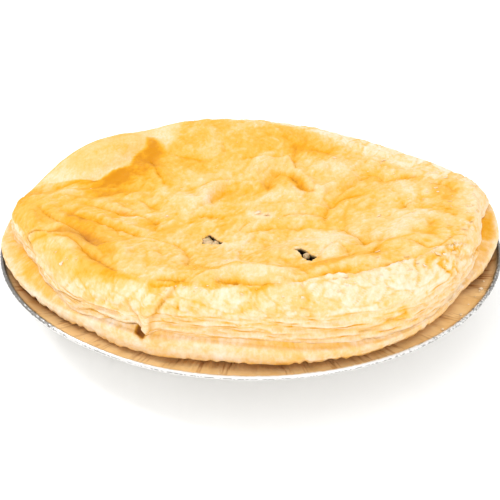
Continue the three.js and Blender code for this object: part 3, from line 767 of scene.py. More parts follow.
def lidWrinkles(x, y, z, u, angle):
    # how far the surface is pushed out, how brown it is and how deep in a crack

    # the skin's wrinkles run from front to back, a little to the right
    sx, sy = x - lid["lean"] * y, y * lid["stretch"]
    wx, wy = (place + 8 * lumps(x, y, z, 30, seed) for place, seed in ((sx, 1), (sy, 2)))
    *folded, fineSize = lid["wrinkleSizes"]
    big, middle, small, smallest = (
        lumps(wx, wy, z, size, seed) for size, seed in zip(folded, (3, 4, 5, 19)))
    finest = lumps(sx, sy, z, fineSize, 6)
    fields = [*(np.abs(field) - 0.3 for field in (big, middle, small, smallest)), finest]
    pillow, ruck, crinkle, crisp, _ = fields
    facet = smooth(-0.07, 0.07, big) + 0.7 * smooth(-0.07, 0.07, middle) - 0.85

    # where on the lid each point is
    height = z - rimLevel
    onTop = 1 - smooth(0.97, 1.12, u)
    onShoulder = smooth(0.97, 1.12, u) * (1 - smooth(1.9, 2.1, u))
    onEdge = smooth(1.85, 2.1, u) * (1 - smooth(2.98, 3.02, u))
    onSide = smooth(0.96, 1.1, u) * (1 - smooth(3, 3.05, u))
    lobeSide = sideOf(lid["lobeLine"], x, y) + 0.7 * middle + 0.4 * small
    soft = 0.7 + 2.5 * smooth(-58, -44, x)
    lobe = smooth(-soft, soft, lobeSide) * (x < 0)

    # flakes, and plates of bare pastry with cracks between them
    border, tone = cells(wx, wy, 1.4 * z, lid["flakeSize"], 18)
    flaky = np.clip(strokes(lid["flaky"], x, y), 0, 1)
    crack = smooth(0.4, 0.06, border + 0.25 * finest) * flaky * smooth(-0.15, 0.35, lumps(x, y, z, 6, 20))
    plateBorder, plateTone = cells(wx, wy, 1.6 * z, lid["plateSize"], 21)
    plateCrack = smooth(0.4, 0.1, plateBorder)

    # the bare shoulder is torn into leaves, each with a thin raised edge
    torn, leafy = lumps(sx, 1.3 * y, z, 10, 43), lumps(wx, wy, z, 5, 44)
    tornStep, leafStep = smooth(-0.05, 0.05, torn), smooth(-0.05, 0.05, leafy)
    tornRim, leafRim = bell(torn, 0.05), bell(leafy, 0.06)
    zone = 0.35 + smooth(-0.3, 0.4, lumps(x, y, z, 24, 15))
    top = weighed([pillow, zone * ruck, zone * crinkle, crisp, finest], lid["topRelief"])
    shoulder = weighed(fields, lid["shoulderRelief"]) + 0.3 * tornStep + 0.2 * leafStep
    shoulder += 0.22 * plateTone - 0.3 * plateCrack
    above = height - around(pie["seam"], angle) + 1.2 * lumps(x, y, 0, 26, 7)
    leaf, line = leaves(x, y, above, lid["layer"], 8)
    thinLeaf, thinLine = leaves(x, y, above, lid["thinLayer"], 14)
    edge = 1.3 * leaf + 0.5 * thinLeaf + weighed(fields, lid["edgeRelief"])

    # the marks on the side, in millimetres round it and down it
    perDegree, perU = pie["arcPerDegree"], -lid["sideLength"]
    arc, drop = angle * perDegree, u * perU
    sideRidge = strokes(scaled(lid["sideRidges"], perDegree, 1), arc, height)
    sideCrease = strokes(scaled(lid["sideCreases"], perDegree, 1), arc, height, sharp=True)
    lap, under = laps(scaled(lid["sideLaps"], perDegree, perU), arc, drop)
    cracks = scaled(lid["cracks"], perDegree, perU)
    split = strokes(cracks, arc + 0.8 * small, drop + 0.8 * finest, sharp=True)
    split = split * (0.4 + smooth(-0.4, 0.2, finest))
    pit = strokes([(px, py, px, py, deep, size) for px, py, size, deep in lid["pits"]], x, y)
    pit = pit * (1 - smooth(2.1, 2.3, u))
    calm = np.clip(strokes(lid["smoothParts"], x, y), 0, 1)
    push = onTop * top * (1 - 0.85 * lobe) + onShoulder * shoulder * (1 - 0.8 * lobe) + onEdge * edge
    push = (push + flaky * 0.3 * tone - 0.5 * crack) * (1 - 0.7 * calm) + lap - 0.45 * split
    push += onSide * (sideRidge - sideCrease) - pit * (0.8 + 0.6 * finest)

    # where the egg-washed skin ends; where it is torn, the bare edge curls up over a hollow
    reach = around(lid["skinReach"], angle) + 0.04 * lumps(x, y, z, 10, 10)
    reach += 0.014 * small + 0.012 * lumps(x, y, z, 2.2, 16)
    blend = around(lid["skinEdge"], angle)
    skin = 1 - smooth(-1, 1, (u - reach) / blend)
    tearing = smooth(0.1, 0.03, blend) * (1 - smooth(1.5, 1.7, u))
    curl = tearing * bell(u - reach, 0.02, 0.022)
    hollow = tearing * bell(u - reach, 0.02, -0.022) * smooth(-0.5, 0.5, lumps(x, y, z, 14, 17))
    push += 0.35 * skin * (1 - smooth(1.9, 2.1, u)) + 0.9 * curl - 1.2 * hollow

    # the skin's brown gathers along each crease, and a deep crease is painted dark as shade
    narrow = [(*mark[:5], lid["creaseLine"] * mark[5], *mark[6:]) for mark in lid["creases"]]
    valley = strokes(narrow, x, y, sharp=True)
    deepest, share, most = lid["creaseShuts"]
    creaseShade = np.clip(share * (valley - deepest), 0, most) * onTop
    hair = bell(lumps(0.8 * wx, 1.6 * wy, z, 13, 45), 0.07) * smooth(-0.1, 0.3, lumps(x, y, z, 18, 46))
    glow = lid["lobeGlow"] * bell(lobeSide, lid["lobeGlowReach"])
    glow = glow * smooth(-42, -50, x) * smooth(-100, -70, x)
    share, most = lid["creaseBrown"]
    brown = lid["goldenTop"] + strokes(lid["browning"], x, y) + share * np.minimum(valley, most)
    brown += 0.08 * hair + glow - 0.05 * strokes(lid["ridges"], x, y)
    calm = np.maximum(calm, 0.7 * onShoulder)
    brown += (1 - 0.6 * calm) * (0.1 * facet - weighed(fields[:2], lid["skinShade"]))
    brown -= (1 - 0.5 * calm) * weighed(fields[2:], lid["skinShade"][2:])
    brown = atLeast(lid["palestSkin"], brown, 0.14)
    tan = lid["lobeTan"] + 0.08 * lumps(x, y, z, 9, 13) + 0.05 * finest
    tan += strokes(lid["lobeBrowning"], x, y)
    brown = mix(brown, tan, lobe)
    bare = lid["creamEdge"] + strokes(lid["bareBrowning"], x, y) * (1 + crinkle)
    bare += 0.08 * lumps(x, y, z, 11, 11) - weighed(fields, lid["bareShade"])
    bare += 0.1 * tornRim + 0.07 * leafRim + 0.05 * (0.5 - leafStep) + 0.08 * plateTone + 0.14 * plateCrack
    # the line under each leaf's edge is painted shade
    layered = lid["layersTan"] - 0.1 * leaf - 0.08 * thinLeaf - 0.12 * crisp + 0.75 * line + 0.4 * thinLine
    # painted shade, laid in as browning: in the side creases, in the hollow under a torn edge and beside
    # each lap
    bake = mix(mix(bare, layered, onEdge), brown, skin) + 0.5 * pit + 0.16 * onSide * sideCrease
    bake = mix(bake, 0.13 + 0.1 * tone, 0.6 * flaky) + 0.45 * crack
    bake += 0.3 * hollow - 0.1 * curl + 0.42 * split - 0.06 * lap + 0.16 * under
    # painted shade: under each leaf's edge, in the side creases, in the hollows beside laps and in deep
    # creases
    paintedShade = onEdge * 0.5 * line + np.clip(0.55 * onSide * (sideCrease - 0.8), 0, 1) + 0.25 * under + creaseShade
    return push, bake, np.clip(paintedShade, 0, 1)


def makeLid():
    points, faces, u, angle = lidGrid()
    normals = surfaceNormals(points, faces)
    push, bake, paintedShade = lidWrinkles(*points.T, u, angle)
    # painted shade where the outer surfaces face back and to the left
    outer = normals[:, :2] @ np.array(lid["shadedSide"])
    bake += lid["farSideShade"] * smooth(0.08, 0.45, outer) * (u > 0.8)
    points = points + normals * (push * (1 - smooth(3, 3.2, u)))[:, None]
    piece = makePiece("lid_crust", points, faces, lidPastry, {"bake": bake, "paintedShade": paintedShade, "gravyAndShade": 0 * paintedShade},
                      "pastry_lid")
    cutSlits(piece)
    return piece


def slitEdge(point, outline):
    # how far inside a ragged outline a point lies, in millimetres, and the way inwards
    x, y = point.x / mm, point.y / mm
    best, side, way = 99, 0, (0, 0)
    for (x0, y0), (x1, y1) in zip(outline, outline[1:] + outline[:1]):
        dx, dy = x1 - x0, y1 - y0
        t = max(0, min(1, ((x - x0) * dx + (y - y0) * dy) / (dx * dx + dy * dy)))
        awayX, awayY = x - x0 - t * dx, y - y0 - t * dy
        away = math.hypot(awayX, awayY)
        left = (dx * (y - y0) - dy * (x - x0)) / math.hypot(dx, dy)
        if away - 0.001 * abs(left) < best:
            best, side = away - 0.001 * abs(left), math.copysign(1, left)
            way = (side * awayX / max(away, 0.001), side * awayY / max(away, 0.001))
    ragged = 0.16 * math.sin(2.1 * x + 1.3 * y) + 0.12 * math.sin(1.1 * x - 2.9 * y)
    return side * best + ragged, way


def cutSlits(piece):
    # open the steam slits: refine the skin there, drop what is inside each outline, wall the hole
    net = bmesh.new()
    net.from_mesh(piece.data)
    gravyAndShade = net.verts.layers.float["gravyAndShade"]
    bake = net.verts.layers.float["bake"]

    def facesNear(outline, margin):
        # upward faces inside the slit's outline, or within this many millimetres of it
        middleX, middleY = (sum(values) / len(outline) for values in zip(*outline))
        near = []
        for f in net.faces:
            place = f.calc_center_median()
            away = math.hypot(place.x / mm - middleX, place.y / mm - middleY)
            if f.normal.z > 0 and away < lid["slitSearch"] and slitEdge(place, outline)[0] > -margin:
                near.append(f)
        return near

    for outline in lid["slits"]:
        for margin in lid["slitRefining"]:
            edges = list(dict.fromkeys(e for f in facesNear(outline, margin) for e in f.edges))
            bmesh.ops.subdivide_edges(net, edges=edges, cuts=1, use_grid_fill=True)
        bmesh.ops.delete(net, geom=facesNear(outline, 0), context="FACES")
        rim = [e for e in net.edges if e.is_boundary]
        for v in dict.fromkeys(v for e in rim for v in e.verts):
            inside, way = slitEdge(v.co, outline)
            v.co.xy -= Vector(way) * max(-0.4, min(0.4, inside)) * mm
            v.co.z -= lid["slitSag"] * mm
        # the wall is painted darker downwards, gravy stain and painted shade
        for drop, dark in lid["slitWall"]:
            wall = bmesh.ops.extrude_edge_only(net, edges=rim)["geom"]
            for v in wall:
                if isinstance(v, bmesh.types.BMVert):
                    v.co.z -= drop * mm
                    v[gravyAndShade] = dark
                    v[bake] = lid["slitBrown"]
            rim = [e for e in wall if isinstance(e, bmesh.types.BMEdge)]
        bmesh.ops.holes_fill(net, edges=rim, sides=0)
    loose = [v for v in net.verts if not v.link_faces]
    bmesh.ops.delete(net, geom=loose, context="VERTS")
    bmesh.ops.recalc_face_normals(net, faces=net.faces)
    # the refining adds points and faces in an order that varies from run to run, so one is set here
    for items, place in ((net.verts, lambda v: v.co[:]), (net.faces, lambda f: f.calc_center_median()[:])):
        for i, item in enumerate(sorted(items, key=place)):
            item.index = i
        items.sort()
    net.to_mesh(piece.data)
    net.free()
    piece.data.shade_smooth()


lidPiece = makeLid()
print("lid made:", sum(len(f.vertices) - 2 for f in lidPiece.data.polygons), "triangles")


# The case: pastry that lines the plate; its edge lies out over the flange as a ledge.
case = {
    "sectors": 1000,
    "thickness": 4.5,
    "innerRadius": 69,  # of its floor
    "shoulder": 20.5,  # where its wall turns out under the lid
    "lift": 0.5,  # above the flange, and where it lies over the rolled rim
    "rimLift": 1.7,
    "edgeRound": [
        (-180, 0.9), (-150, 0.8), (-135, 1.4), (-118, 2.8), (-90, 3.2), (-70, 2.2), (-55, 0.9),
        (-30, 0.8), (0, 1.6), (90, 1.5),
    ],
    "ledgeBrown": [
        (-180, 0.4), (-166, 0.46), (-156, 0.5), (-147, 0.4), (-138, 0.24), (-115, 0.16), (-100, 0.29),
        (-90, 0.36), (-75, 0.37), (-64, 0.3), (-45, 0.2), (-28, 0.16), (-18, 0.3), (-12, 0.4),
        (-7, 0.72), (-2, 0.6), (2, 0.3), (7, 0.15), (90, 0.3),
    ],
    "sideBrown": 0.24,
    # by how much, half width and angle: where the side is palest, and where the pale edge reaches
    # further in over the ledge
    "paleSide": (0.15, 18, -136),
    "paleFront": (0.2, 35, -98),
    # a hollow beside the fold's tip, painted dark as shade: start x, y, end x, y, depth and half width
    "hollow": [(-43.6, -94.8, -41.6, -97, 1.4, 0.9)],
    "footRound": 0.8,
    "scallop": 4.6,  # mm along the hanging edge
    "flangeRadius": 112.4,
    "wallTopRadius": 97,
    "wallTop": 19.5,
    "baseRadius": 74,
    "foil": 0.5,  # as thick as in the model
    "tuckedUnder": 3,  # how far the ledge goes on under the lid
    "ledgeRings": 16,
    "roundRings": 5,
    "sideRings": 14,
}


def caseGrid():
    # points, faces and each point's part: 0 inside, 1 on the ledge, 2 its side, 3 its foot, 4 below
    angle = turnRound(case["sectors"])
    outer, foot, r = (
        around(knots, angle) for knots in (pie["caseOutline"], pie["lidFoot"], case["edgeRound"]))
    edge = rimLevel + around(pie["caseEdgeTop"], angle)
    beyond = smooth(case["flangeRadius"] - 3, case["flangeRadius"], outer)
    low = rimLevel + mix(case["lift"], case["rimLift"], beyond)
    seam = rimLevel + around(pie["seam"], angle) - pie["touchGap"]
    bottom = case["foil"] + pie["touchGap"]
    turn = case["footRound"]
    rings = [
        (0, bottom + case["thickness"], 0),
        (case["innerRadius"], bottom + case["thickness"], 0),
        (pie["fillingRadius"] - 1, case["shoulder"], 0),
        (pie["fillingRadius"], seam, 0),
    ]
    inner = np.minimum(foot, outer - r) - case["tuckedUnder"]
    for t in np.linspace(0, 1, case["ledgeRings"]):
        radius = mix(inner, outer - r, t)
        fall = smooth(0, 1, (radius - foot + 1) / np.maximum(outer - r - foot + 1, 0.4))
        rings.append((radius, mix(seam, edge, fall), 1))
    arcs = np.linspace(0, math.pi / 2, case["roundRings"] + 1)[1:]
    for t in arcs:
        rings.append((outer - r + r * math.sin(t), edge - r + r * math.cos(t), 1))
    for t in np.linspace(0, 1, case["sideRings"] + 1)[1:]:
        rings.append((outer + 0.3 * math.sin(t * math.pi), mix(edge - r, low + turn, t), 2))
    for t in arcs:
        rings.append((outer - turn + turn * math.cos(t), low + turn - turn * math.sin(t), 3))
    for t in (0.15, 0.4, 1):
        radius = mix(outer - turn, case["wallTopRadius"], t)
        rings.append((radius, mix(low, case["wallTop"] + bottom + pie["touchGap"], t), 4))
    rings += [(case["baseRadius"] - 1, bottom, 4), (0, bottom, 4)]
    points, faces, (part,) = ringMesh(rings, angle)
    return points, faces, part


def makeCase():
    points, faces, part = caseGrid()
    x, y, z = points.T
    angle = np.degrees(np.arctan2(y, x))
    normals = surfaceNormals(points, faces)
    radius = np.hypot(x, y)
    onLedge = (part == 1) * 1.0
    onSide = (part >= 2) * (part <= 3) * 1.0
    swell, fine, blotch = (lumps(x, y, z, size, seed) for size, seed in ((14, 21), (2.6, 23), (5, 30)))
    ruck = np.abs(lumps(x, y, z, 6, 22)) - 0.3
    # creases that run outwards across the ledge, where the edge was pressed down
    crimp = np.abs(lumps(angle * 1.9 + 0.8 * swell, radius * 0.3, 0, 2.6, 24)) - 0.3
    hollow = onLedge * strokes(case["hollow"], x, y)
    push = (onLedge + onSide) * (0.35 * swell + 0.3 * ruck + 0.14 * fine) + onLedge * 0.36 * crimp - hollow
    # the lower edge hangs in uneven scallops
    scallop = np.abs(lumps(x, y, 0, case["scallop"], 28)) * (0.4 + smooth(-0.3, 0.5, lumps(x, y, 0, 15, 29)))
    hang = 0.9 * lumps(x, y, 0, 13, 27) + 2 * scallop + 0.5 * fine - 0.7
    drop = smooth(rimLevel + 3.6, rimLevel + 0.5, z) * onSide
    points = points + normals * (push - 0.8 * drop * scallop)[:, None]
    points[:, 2] += np.maximum(0.8 * hang, -0.5) * drop
    # browned on the ledge and pale on the side; at the front the pale edge reaches further in
    outer = around(pie["caseOutline"], angle)
    inward = (outer - radius) / np.maximum(outer - around(pie["lidFoot"], angle), 2)
    amount, width, middle = case["paleFront"]
    inward -= amount * bell(angle, width, middle)
    ledge = around(case["ledgeBrown"], angle) + 0.12 * swell - 0.2 * crimp - 0.15 * ruck + 0.16 * blotch
    amount, width, middle = case["paleSide"]
    side = case["sideBrown"] - amount * bell(angle, width, middle) + 0.1 * swell - 0.12 * ruck
    side += 0.06 * blotch - 0.1 * fine + 0.12 * smooth(2.6, 0.5, z - rimLevel)
    # the hollow beside the fold's tip is painted dark, as shade
    bake = mix(side, ledge, onLedge * smooth(0.1, 0.5, inward + 0.12 * fine)) + hollow
    paintedShade = np.clip(1.2 * hollow, 0, 1)
    makePiece("case_crust", points, faces, casePastry, {"bake": bake, "paintedShade": paintedShade, "gravyAndShade": 0.4 * paintedShade},
              "pastry_case")


makeCase()
print("case made")


# The filling: level and dark under the steam slits.
filling = {
    "sectors": 96,
    "ringStep": 1.5,
    "clear": 0.6,  # from the pastry round it
}


def makeFilling():
    top = rimLevel + pie["lidUnderside"] - pie["touchGap"]
    bottom = case["foil"] + case["thickness"] + 2 * pie["touchGap"]
    clear, step = filling["clear"], filling["ringStep"]
    angle = turnRound(filling["sectors"])
    points, faces, _ = ringMesh([
        (0, top),
        *((radius, top) for radius in np.arange(2, pie["fillingFlat"] + 0.1, step)),
        (pie["fillingRadius"] - clear, rimLevel + around(pie["seam"], angle) - 2 * clear),
        (pie["fillingRadius"] - 1 - clear, case["shoulder"]),
        (case["innerRadius"] - clear, bottom),
        (0, bottom),
    ], angle)
    makePiece("filling_gravy", points, faces, gravy, None, "filling")


makeFilling()


# The foil plate: real foil, pressed into pleats, with a rolled and crimped rim.
plate = {
    "sectors": 1280,
    "radius": 115,
    "rimBead": 0.9,
    "rimSway": [(-180, 0), (-150, 0.8), (-125, 1.1), (-106, 0), (-60, -0.2), (-20, 0), (100, 0.3)],
    "foil": 0.15,  # real foil
    "flangeEdge": 22.6,  # height of the flange beside the rim
    "tickDepth": 0.2,
    # how much of the rim is painted dark, where it mirrors what is beyond the light, and how brown the
    # flange is painted, where it mirrors the pastry and the dark beyond the light
    "rimShade": [
        (-180, 1), (-165, 1), (-152, 0.85), (-142, 0.75), (-133, 0.45), (-122, 0.15), (-100, -0.1),
        (-75, -0.1), (-62, 0.15), (-48, 0.34), (-35, 0.45), (-20, 0.75), (-5, 0.9), (60, 0.8),
        (120, 0.8),
    ],
    "flangeReflection": [
        (-180, 0.9), (-160, 1), (-150, 1), (-141, 0.5), (-130, 0.04), (-110, 0.04), (-92, 0.2),
        (-70, 0.25), (-58, 0.16), (-46, 0.03), (-36, -0.08), (-30, 0), (-25, 0.6), (-10, 1), (30, 0.3),
        (150, 0.3),
    ],
    "wrinkle": 0.85,  # of the flange
    "pleat": 0.5,  # depth and number of the wall's pleats
    "pleats": 150,
    "baseRings": 5,
    "wallRings": 7,
    "flangeRings": 15,
    "beadRings": 25,
    "beadTurn": 150,  # from the inner side over the top to below
}


def makePlate():
    angle = turnRound(plate["sectors"])

    def field(radius, height, size, seed):
        # random field round the plate at this radius
        return lumps(*polar(radius, angle), height, size, seed)

    sway, shade, stainAndReflection = (
        around(plate[name], angle) for name in ("rimSway", "rimShade", "flangeReflection"))
    stainAndReflection = stainAndReflection + 0.16 * field(115, 0, 9, 33)
    # the rim is crimped in short uneven folds, and the flange creased along its radii
    bead = plate["rimBead"] + plate["tickDepth"] * field(115, 0, 1.5, 31)
    radial = np.abs(field(100, 0, 2, 32))
    pleat = np.sin(plate["pleats"] * np.radians(angle) + 2 * field(30, 0, 6, 34))
    thin, foil = plate["foil"], case["foil"]
    wallFoot = case["baseRadius"], foil
    wallTop = case["wallTopRadius"], case["wallTop"] + foil
    rings = []  # radius, height, fat and painted reflection, painted reflection and crease shade, painted reflection on the rim
    for t in np.linspace(0, 1, plate["baseRings"]):
        rings.append((mix(2, wallFoot[0], t), foil, 1, 0, 0))
    for t in np.linspace(0, 1, plate["wallRings"])[1:]:
        wave = plate["pleat"] * pleat * math.sin(t * math.pi)
        radius, height = (mix(a, b, t) for a, b in zip(wallFoot, wallTop))
        rings.append((radius + wave / 2, height - wave / 2, 1, 0, 0))
    for t in np.linspace(0, 1, plate["flangeRings"])[1:]:
        radius = mix(wallTop[0], case["flangeRadius"], t)
        height = mix(wallTop[1], plate["flangeEdge"] + foil + sway, t)
        # painted shade along the flange's radial creases
        line = smooth(0.2, 0.04, np.abs(field(100, t * 1.5, 1.5, 37)))
        line = line * smooth(-0.3, 0.3, field(100, t * 4, 5, 38)) * mix(1, 0.4, t)
        wave = plate["wrinkle"] * (radial + 0.5 * field(100, t * 5, 3.2, 35))
        # the flange is painted browner as a reflection, less so towards its outer edge
        reflectionAndCreaseShade = np.clip(stainAndReflection * (1 - 0.6 * t ** 4) + 0.85 * line, 0, 1)
        rings.append((radius, height + wave * math.sin(math.pi * min(1, t + 0.2)), 1, reflectionAndCreaseShade, 0))
    topside = list(rings)
    for turn in np.linspace(plate["beadTurn"], -plate["beadTurn"], plate["beadRings"]):
        c, s = math.cos(math.radians(turn)), math.sin(math.radians(turn))
        # painted reflection on the rim: dark in flecks where it mirrors what is beyond the light, and a thin
        # dashed dark line along it
        fleck = field(115, 1.1 * math.radians(turn), 0.9, 36) + 0.3 * field(115, 0, 5, 39)
        dark = 0.85 * smooth(-0.45, 0.45, 0.8 * fleck + 1.7 * (shade * smooth(-0.6, 0.4, s) - 0.5))
        dash = 0.7 * smooth(0.3, 0.1, abs(s - 0.15)) * (c > 0) * smooth(-0.2, 0.2, fleck)
        rings.append((plate["radius"] - plate["rimBead"] + bead * c, rimLevel + sway + bead * s,
                      0.8 * smooth(135, 150, turn), 0, np.maximum(dark, dash)))
    for radius, height, *_ in reversed(topside):
        rings.append((radius + thin / 2, height - thin, 0, 0, 0))
    rings = [(0, foil, 1, 0, 0), *rings, (0, foil - thin, 0, 0, 0)]
    points, faces, values = ringMesh(rings, angle)
    paints = dict(zip(("fatAndReflection", "reflectionAndCreaseShade", "crease"), values))
    return makePiece("foil_shell", points, faces, foilMaterial, paints, "foil_plate")


platePiece = makePlate()
print("plate made")


def makeJoined(name, parts, material):
    # one piece from several parts, each with its points, faces and a value for each paint
    points, faces, paints = [], [], {}
    for part in parts:
        start = sum(len(earlier) for earlier in points)
        points.append(part["points"])
        faces += [tuple(i + start for i in face) for face in part["faces"]]
        for paint, value in part["paints"].items():
            paints.setdefault(paint, []).append(np.full(len(part["points"]), value))
    paints = {paint: np.concatenate(values) for paint, values in paints.items()}
    return makePiece(name, np.concatenate(points), faces, material, paints)


def lump(place, size, turn, roughness, seed, paints):
    # a rounded uneven chunk with its three sizes, turned about the vertical
    rings, sectors = 9, 16
    points = []
    for i in range(rings + 1):
        tilt = math.pi * i / rings
        count = 1 if i in (0, rings) else sectors
        way = 2 * math.pi * np.arange(count) / count
        points.append(np.stack([
            math.sin(tilt) * np.cos(way), math.sin(tilt) * np.sin(way), math.cos(tilt) + 0 * way,
        ], axis=1))
    faces = ringFaces([len(ring) for ring in points])
    points = np.concatenate(points)
    uneven = 1 + roughness * lumps(*points.T * 2, 1.1, seed)
    points = points * uneven[:, None] * np.array(size) / 2
    c, s = math.cos(math.radians(turn)), math.sin(math.radians(turn))
    points = points @ np.array([[c, s, 0], [-s, c, 0], [0, 0, 1]]) + place
    return {"points": points, "faces": faces, "paints": paints}


# What shows in the steam slits: an onion sliver in each, and meat in the gravy below.
bits = {
    # x, y, height above the rim, three sizes and direction
    "onion": [
        (-19.4, -33.6, 12, 6.4, 11, 4.4, 12), (-15.4, -35, 12, 3.4, 6, 4, -20),
        (23.2, -55.6, 18.6, 2.8, 3.6, 2.6, -40),
    ],
    "meat": [
        (-13, -34.4, 9.6, 6, 4.6, 5, 10), (19.5, -50, 14.6, 6, 4, 4, 60), (26, -59, 16.4, 5, 3.6, 4, 0),
    ],
}


def boiledMaterial(name, colours, grain, roughness, wet):
    material, tree, surface = newMaterial(name)
    place = add(tree, "TexCoord", out="Object")
    fibre = add(tree, "VectorMath", {0: place, 1: (0.3, 1, 1)}, operation="MULTIPLY")
    noise = add(tree, "TexNoise", {
        "Vector": fibre, "Scale": perMillimetre(grain), "Detail": 4, "Roughness": 0.6,
    })
    feed(tree, surface, {
        "Base Color": add(tree, "ValToRGB", {"Fac": noise}, colours),
        "Normal": add(tree, "Bump", {"Height": noise, "Strength": 0.5, "Distance": 0.3 * mm}),
        "Roughness": roughness, "Coat Weight": wet, "Subsurface Weight": 0.2, "Subsurface Scale": mm,
    })
    return material


# Onion softened in gravy: pale beige and half clear, with fine ribs along it.
onion = boiledMaterial("onion, softened in gravy", [(0.3, "#a88454"), (0.7, "#d8be8e")], 0.6, 0.35, 0.3)
# Stewed beef: dark brown, in coarse fibres, wet with gravy.
beef = boiledMaterial("beef, stewed", [(0.3, "#1b0d06"), (0.7, "#4a2a16")], 1.2, 0.4, 0.5)


def makeBits(name, rows, material):
    makeJoined(name, [
        lump((x, y, rimLevel + h), sizes, turn, 0.35, 50 + i, {})
        for i, (x, y, h, *sizes, turn) in enumerate(rows)
    ], material)


makeBits("filling_onion", bits["onion"], onion)
makeBits("filling_beef", bits["meat"], beef)


# Loose flakes of the top leaf, most of them along the right rim, and crumbs on the flange.
flakes = {
    # x, y, size, direction, how far it curls up and how brown
    "placed": [
        (3, -8.5, 3.4, 20, 1.2, 0.1), (7, -10.5, 2.6, -30, 0.8, 0.25), (42, 48, 2.2, 40, 0.4, 0.15),
        (87, 10, 2.4, 70, 0.4, 0.2), (62, -69, 2.2, -20, 0.4, 0.3), (50, -70, 1.8, 10, 0.4, 0.3),
        (95, -33, 3.6, -60, 0.4, 0.3), (90.5, -40, 3, -40, 0.4, 0.25), (83, -58, 3.4, 30, 0.4, 0.2),
        (-76.6, -65.4, 2, 35, 0.3, 0.05), (-38, -12, 1.8, 20, 0.4, 0.15), (98, -14, 3, 80, 0.3, 0.25),
        (57, -16, 2.8, 0, 0.4, 0.2), (75.5, -63.5, 2.8, -50, 0.4, 0.2), (36, -86, 2.6, 5, 0.4, 0.2),
    ],
    # angle from, angle to, u from, u to, how many and largest size
    "scattered": [
        (-52, 24, 0.84, 1.7, 46, 2.2), (-110, -52, 0.98, 1.5, 26, 1.7), (-170, 170, 0.1, 0.95, 34, 1.2),
        (-20, 40, 0.7, 0.95, 22, 1.6), (-160, -115, 1, 1.9, 9, 1.1),
    ],
    "thickness": 0.22,
    "steepest": 0.55,  # flakes stay only where the surface's normal points up by at least this
    # x, y, size
    "crumbs": [
        (98.5, -49, 1.9), (97.6, -50.6, 1.1), (86.2, -69.5, 1.6), (77, -80.5, 1.7), (101, -42.5, 0.8),
        (91, -61, 0.9), (64, -92.5, 0.9), (-12, -109.6, 0.7), (-66, -87.5, 0.7), (95, -55, 0.7),
    ],
}


def flakeSheet(place, normal, size, turn, curl, brown, seed):
    # a thin ragged sheet, curled up at one side and standing on the surface
    count = 14
    way = 2 * math.pi * np.arange(count) / count + math.radians(turn)
    ragged = 0.75 + 0.5 * lumps(np.cos(way) * 2, np.sin(way) * 2, seed * 3.7, 1.5, 41)
    rings = []
    for share, side in ((0, 1), (0.5, 1), (1, 1), (1, -1), (0.5, -1), (0, -1)):
        radius = size / 2 * share * ragged * np.where(np.abs(np.cos(way)) > 0.7, 1.2, 0.75)
        rise = curl * share ** 2 * (0.5 + 0.5 * np.cos(way - math.radians(turn))) + 0.1
        rise = rise + side * flakes["thickness"] / 2 * (1 - 0.5 * share)
        ring = np.stack([radius * np.cos(way), radius * np.sin(way), rise], axis=1)
        rings.append(ring if share else ring[:1] * [0, 0, 1])
    rotation = Vector((0, 0, 1)).rotation_difference(Vector(normal)).to_matrix()
    points = np.concatenate(rings) @ np.array(rotation).T + np.array(place)
    faces = ringFaces([len(ring) for ring in rings])
    return {"points": points, "faces": faces, "paints": {"bake": brown, "paintedShade": 0}}


def surfaceBelow(piece):
    # gives the point and the normal straight below a place in millimetres, on a piece's surface
    net = bmesh.new()
    net.from_mesh(piece.data)
    tree = BVHTree.FromBMesh(net)
    net.free()
    return lambda x, y: tree.ray_cast(Vector((x * mm, y * mm, 0.1)), Vector((0, 0, -1)))[:2]


def makeFlakes():
    below = surfaceBelow(lidPiece)
    rng = np.random.default_rng(61)
    rows = list(flakes["placed"])
    for low, high, inner, outer, count, largest in flakes["scattered"]:
        for _ in range(count):
            angle, u = rng.uniform(low, high), rng.uniform(inner, outer)
            radius = float(lidRing(u, np.array([angle]))[0][0])
            size = largest * (0.35 + 0.65 * rng.random() ** 2)
            rows.append((radius * math.cos(math.radians(angle)), radius * math.sin(math.radians(angle)),
                         size, rng.uniform(0, 360), size * rng.uniform(0.03, 0.2), rng.uniform(0, 0.35)))
    parts = []
    for i, (x, y, *shape) in enumerate(rows):
        place, normal = below(x, y)
        if place is not None and normal.z > flakes["steepest"]:
            parts.append(flakeSheet(np.array(place) / mm, normal, *shape, i))
    makeJoined("lid_flakes", parts, lidPastry)


def makeCrumbs():
    below = surfaceBelow(platePiece)
    makeJoined("flange_crumbs", [
        lump(np.array(below(x, y)[0]) / mm + [0, 0, size * 0.2], (size, size * 0.7, size * 0.5), 40 * i,
             0.5, 70 + i, {"bake": 0.1, "paintedShade": 0})
        for i, (x, y, size) in enumerate(flakes["crumbs"])
    ], casePastry)


makeFlakes()
makeCrumbs()
print("flakes and crumbs made")


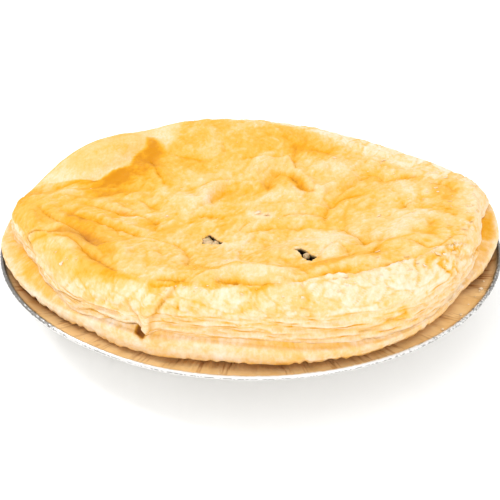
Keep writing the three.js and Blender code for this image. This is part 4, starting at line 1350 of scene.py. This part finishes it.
# Studio: a pale table, an even white room, one lamp above the left and one in front.
studio = {
    "table": "#fbfaf8",
    "room": 1.2,
    "keyPower": 3.4,
    "keySize": 0.25,
    "keyPlace": (-0.7, 0.15, 0.85),
    "frontPower": 3.4,
    "frontPlace": (0.35, -1.0, 0.55),
    "cameraDistance": 480,
    "cameraHeight": 28.43,  # degrees above the horizon
    "cameraAim": (-0.4, -4.07, 16.5),
    "aimedFrom": (0, 0, 24),
    "lens": 73.6,
}


def makeStudio():
    scene = bpy.context.scene
    middle = Vector((0, 0, rimLevel * mm))

    def put(name, data, place, aim):
        # a lamp or camera here, pointed at the aim
        holder = bpy.data.objects.new(name, data)
        holder.location = place
        holder.rotation_euler = (aim - holder.location).to_track_quat("-Z", "Y").to_euler()
        scene.collection.objects.link(holder)
        return holder

    material, tree, surface = newMaterial("matt white table")
    place = add(tree, "TexCoord", out="Object")
    grain = add(tree, "TexNoise", {"Vector": place, "Scale": perMillimetre(4), "Detail": 2})
    feed(tree, surface, {
        "Roughness": add(tree, "MapRange", {"Value": grain, "To Min": 0.8, "To Max": 0.9}),
        "Base Color": linear(studio["table"]),
    })
    bpy.ops.mesh.primitive_plane_add(size=6)
    table = bpy.context.active_object
    table.name = "table"
    table.data.materials.append(material)
    world = bpy.data.worlds.new("even white room")
    world.use_nodes = True
    feed(world.node_tree, world.node_tree.nodes["Background"], {
        "Color": (1, 1, 1, 1), "Strength": studio["room"],
    })
    scene.world = world
    for name in ("key", "front"):
        lamp = bpy.data.lights.new(name, "AREA")
        lamp.energy = studio[name + "Power"]
        lamp.size = studio["keySize"]
        put(name, lamp, studio[name + "Place"], middle)
    camera = bpy.data.cameras.new("camera")
    camera.lens = studio["lens"]
    camera.clip_start = 0.01
    lift = math.radians(studio["cameraHeight"])
    back = Vector((0, -math.cos(lift), math.sin(lift)))
    place = (Vector(studio["aimedFrom"]) + back * studio["cameraDistance"]) * mm
    scene.camera = put("camera", camera, place, Vector(studio["cameraAim"]) * mm)
    scene.view_settings.view_transform = "Standard"
    scene.view_settings.look = "None"


makeStudio()
print("studio ready")
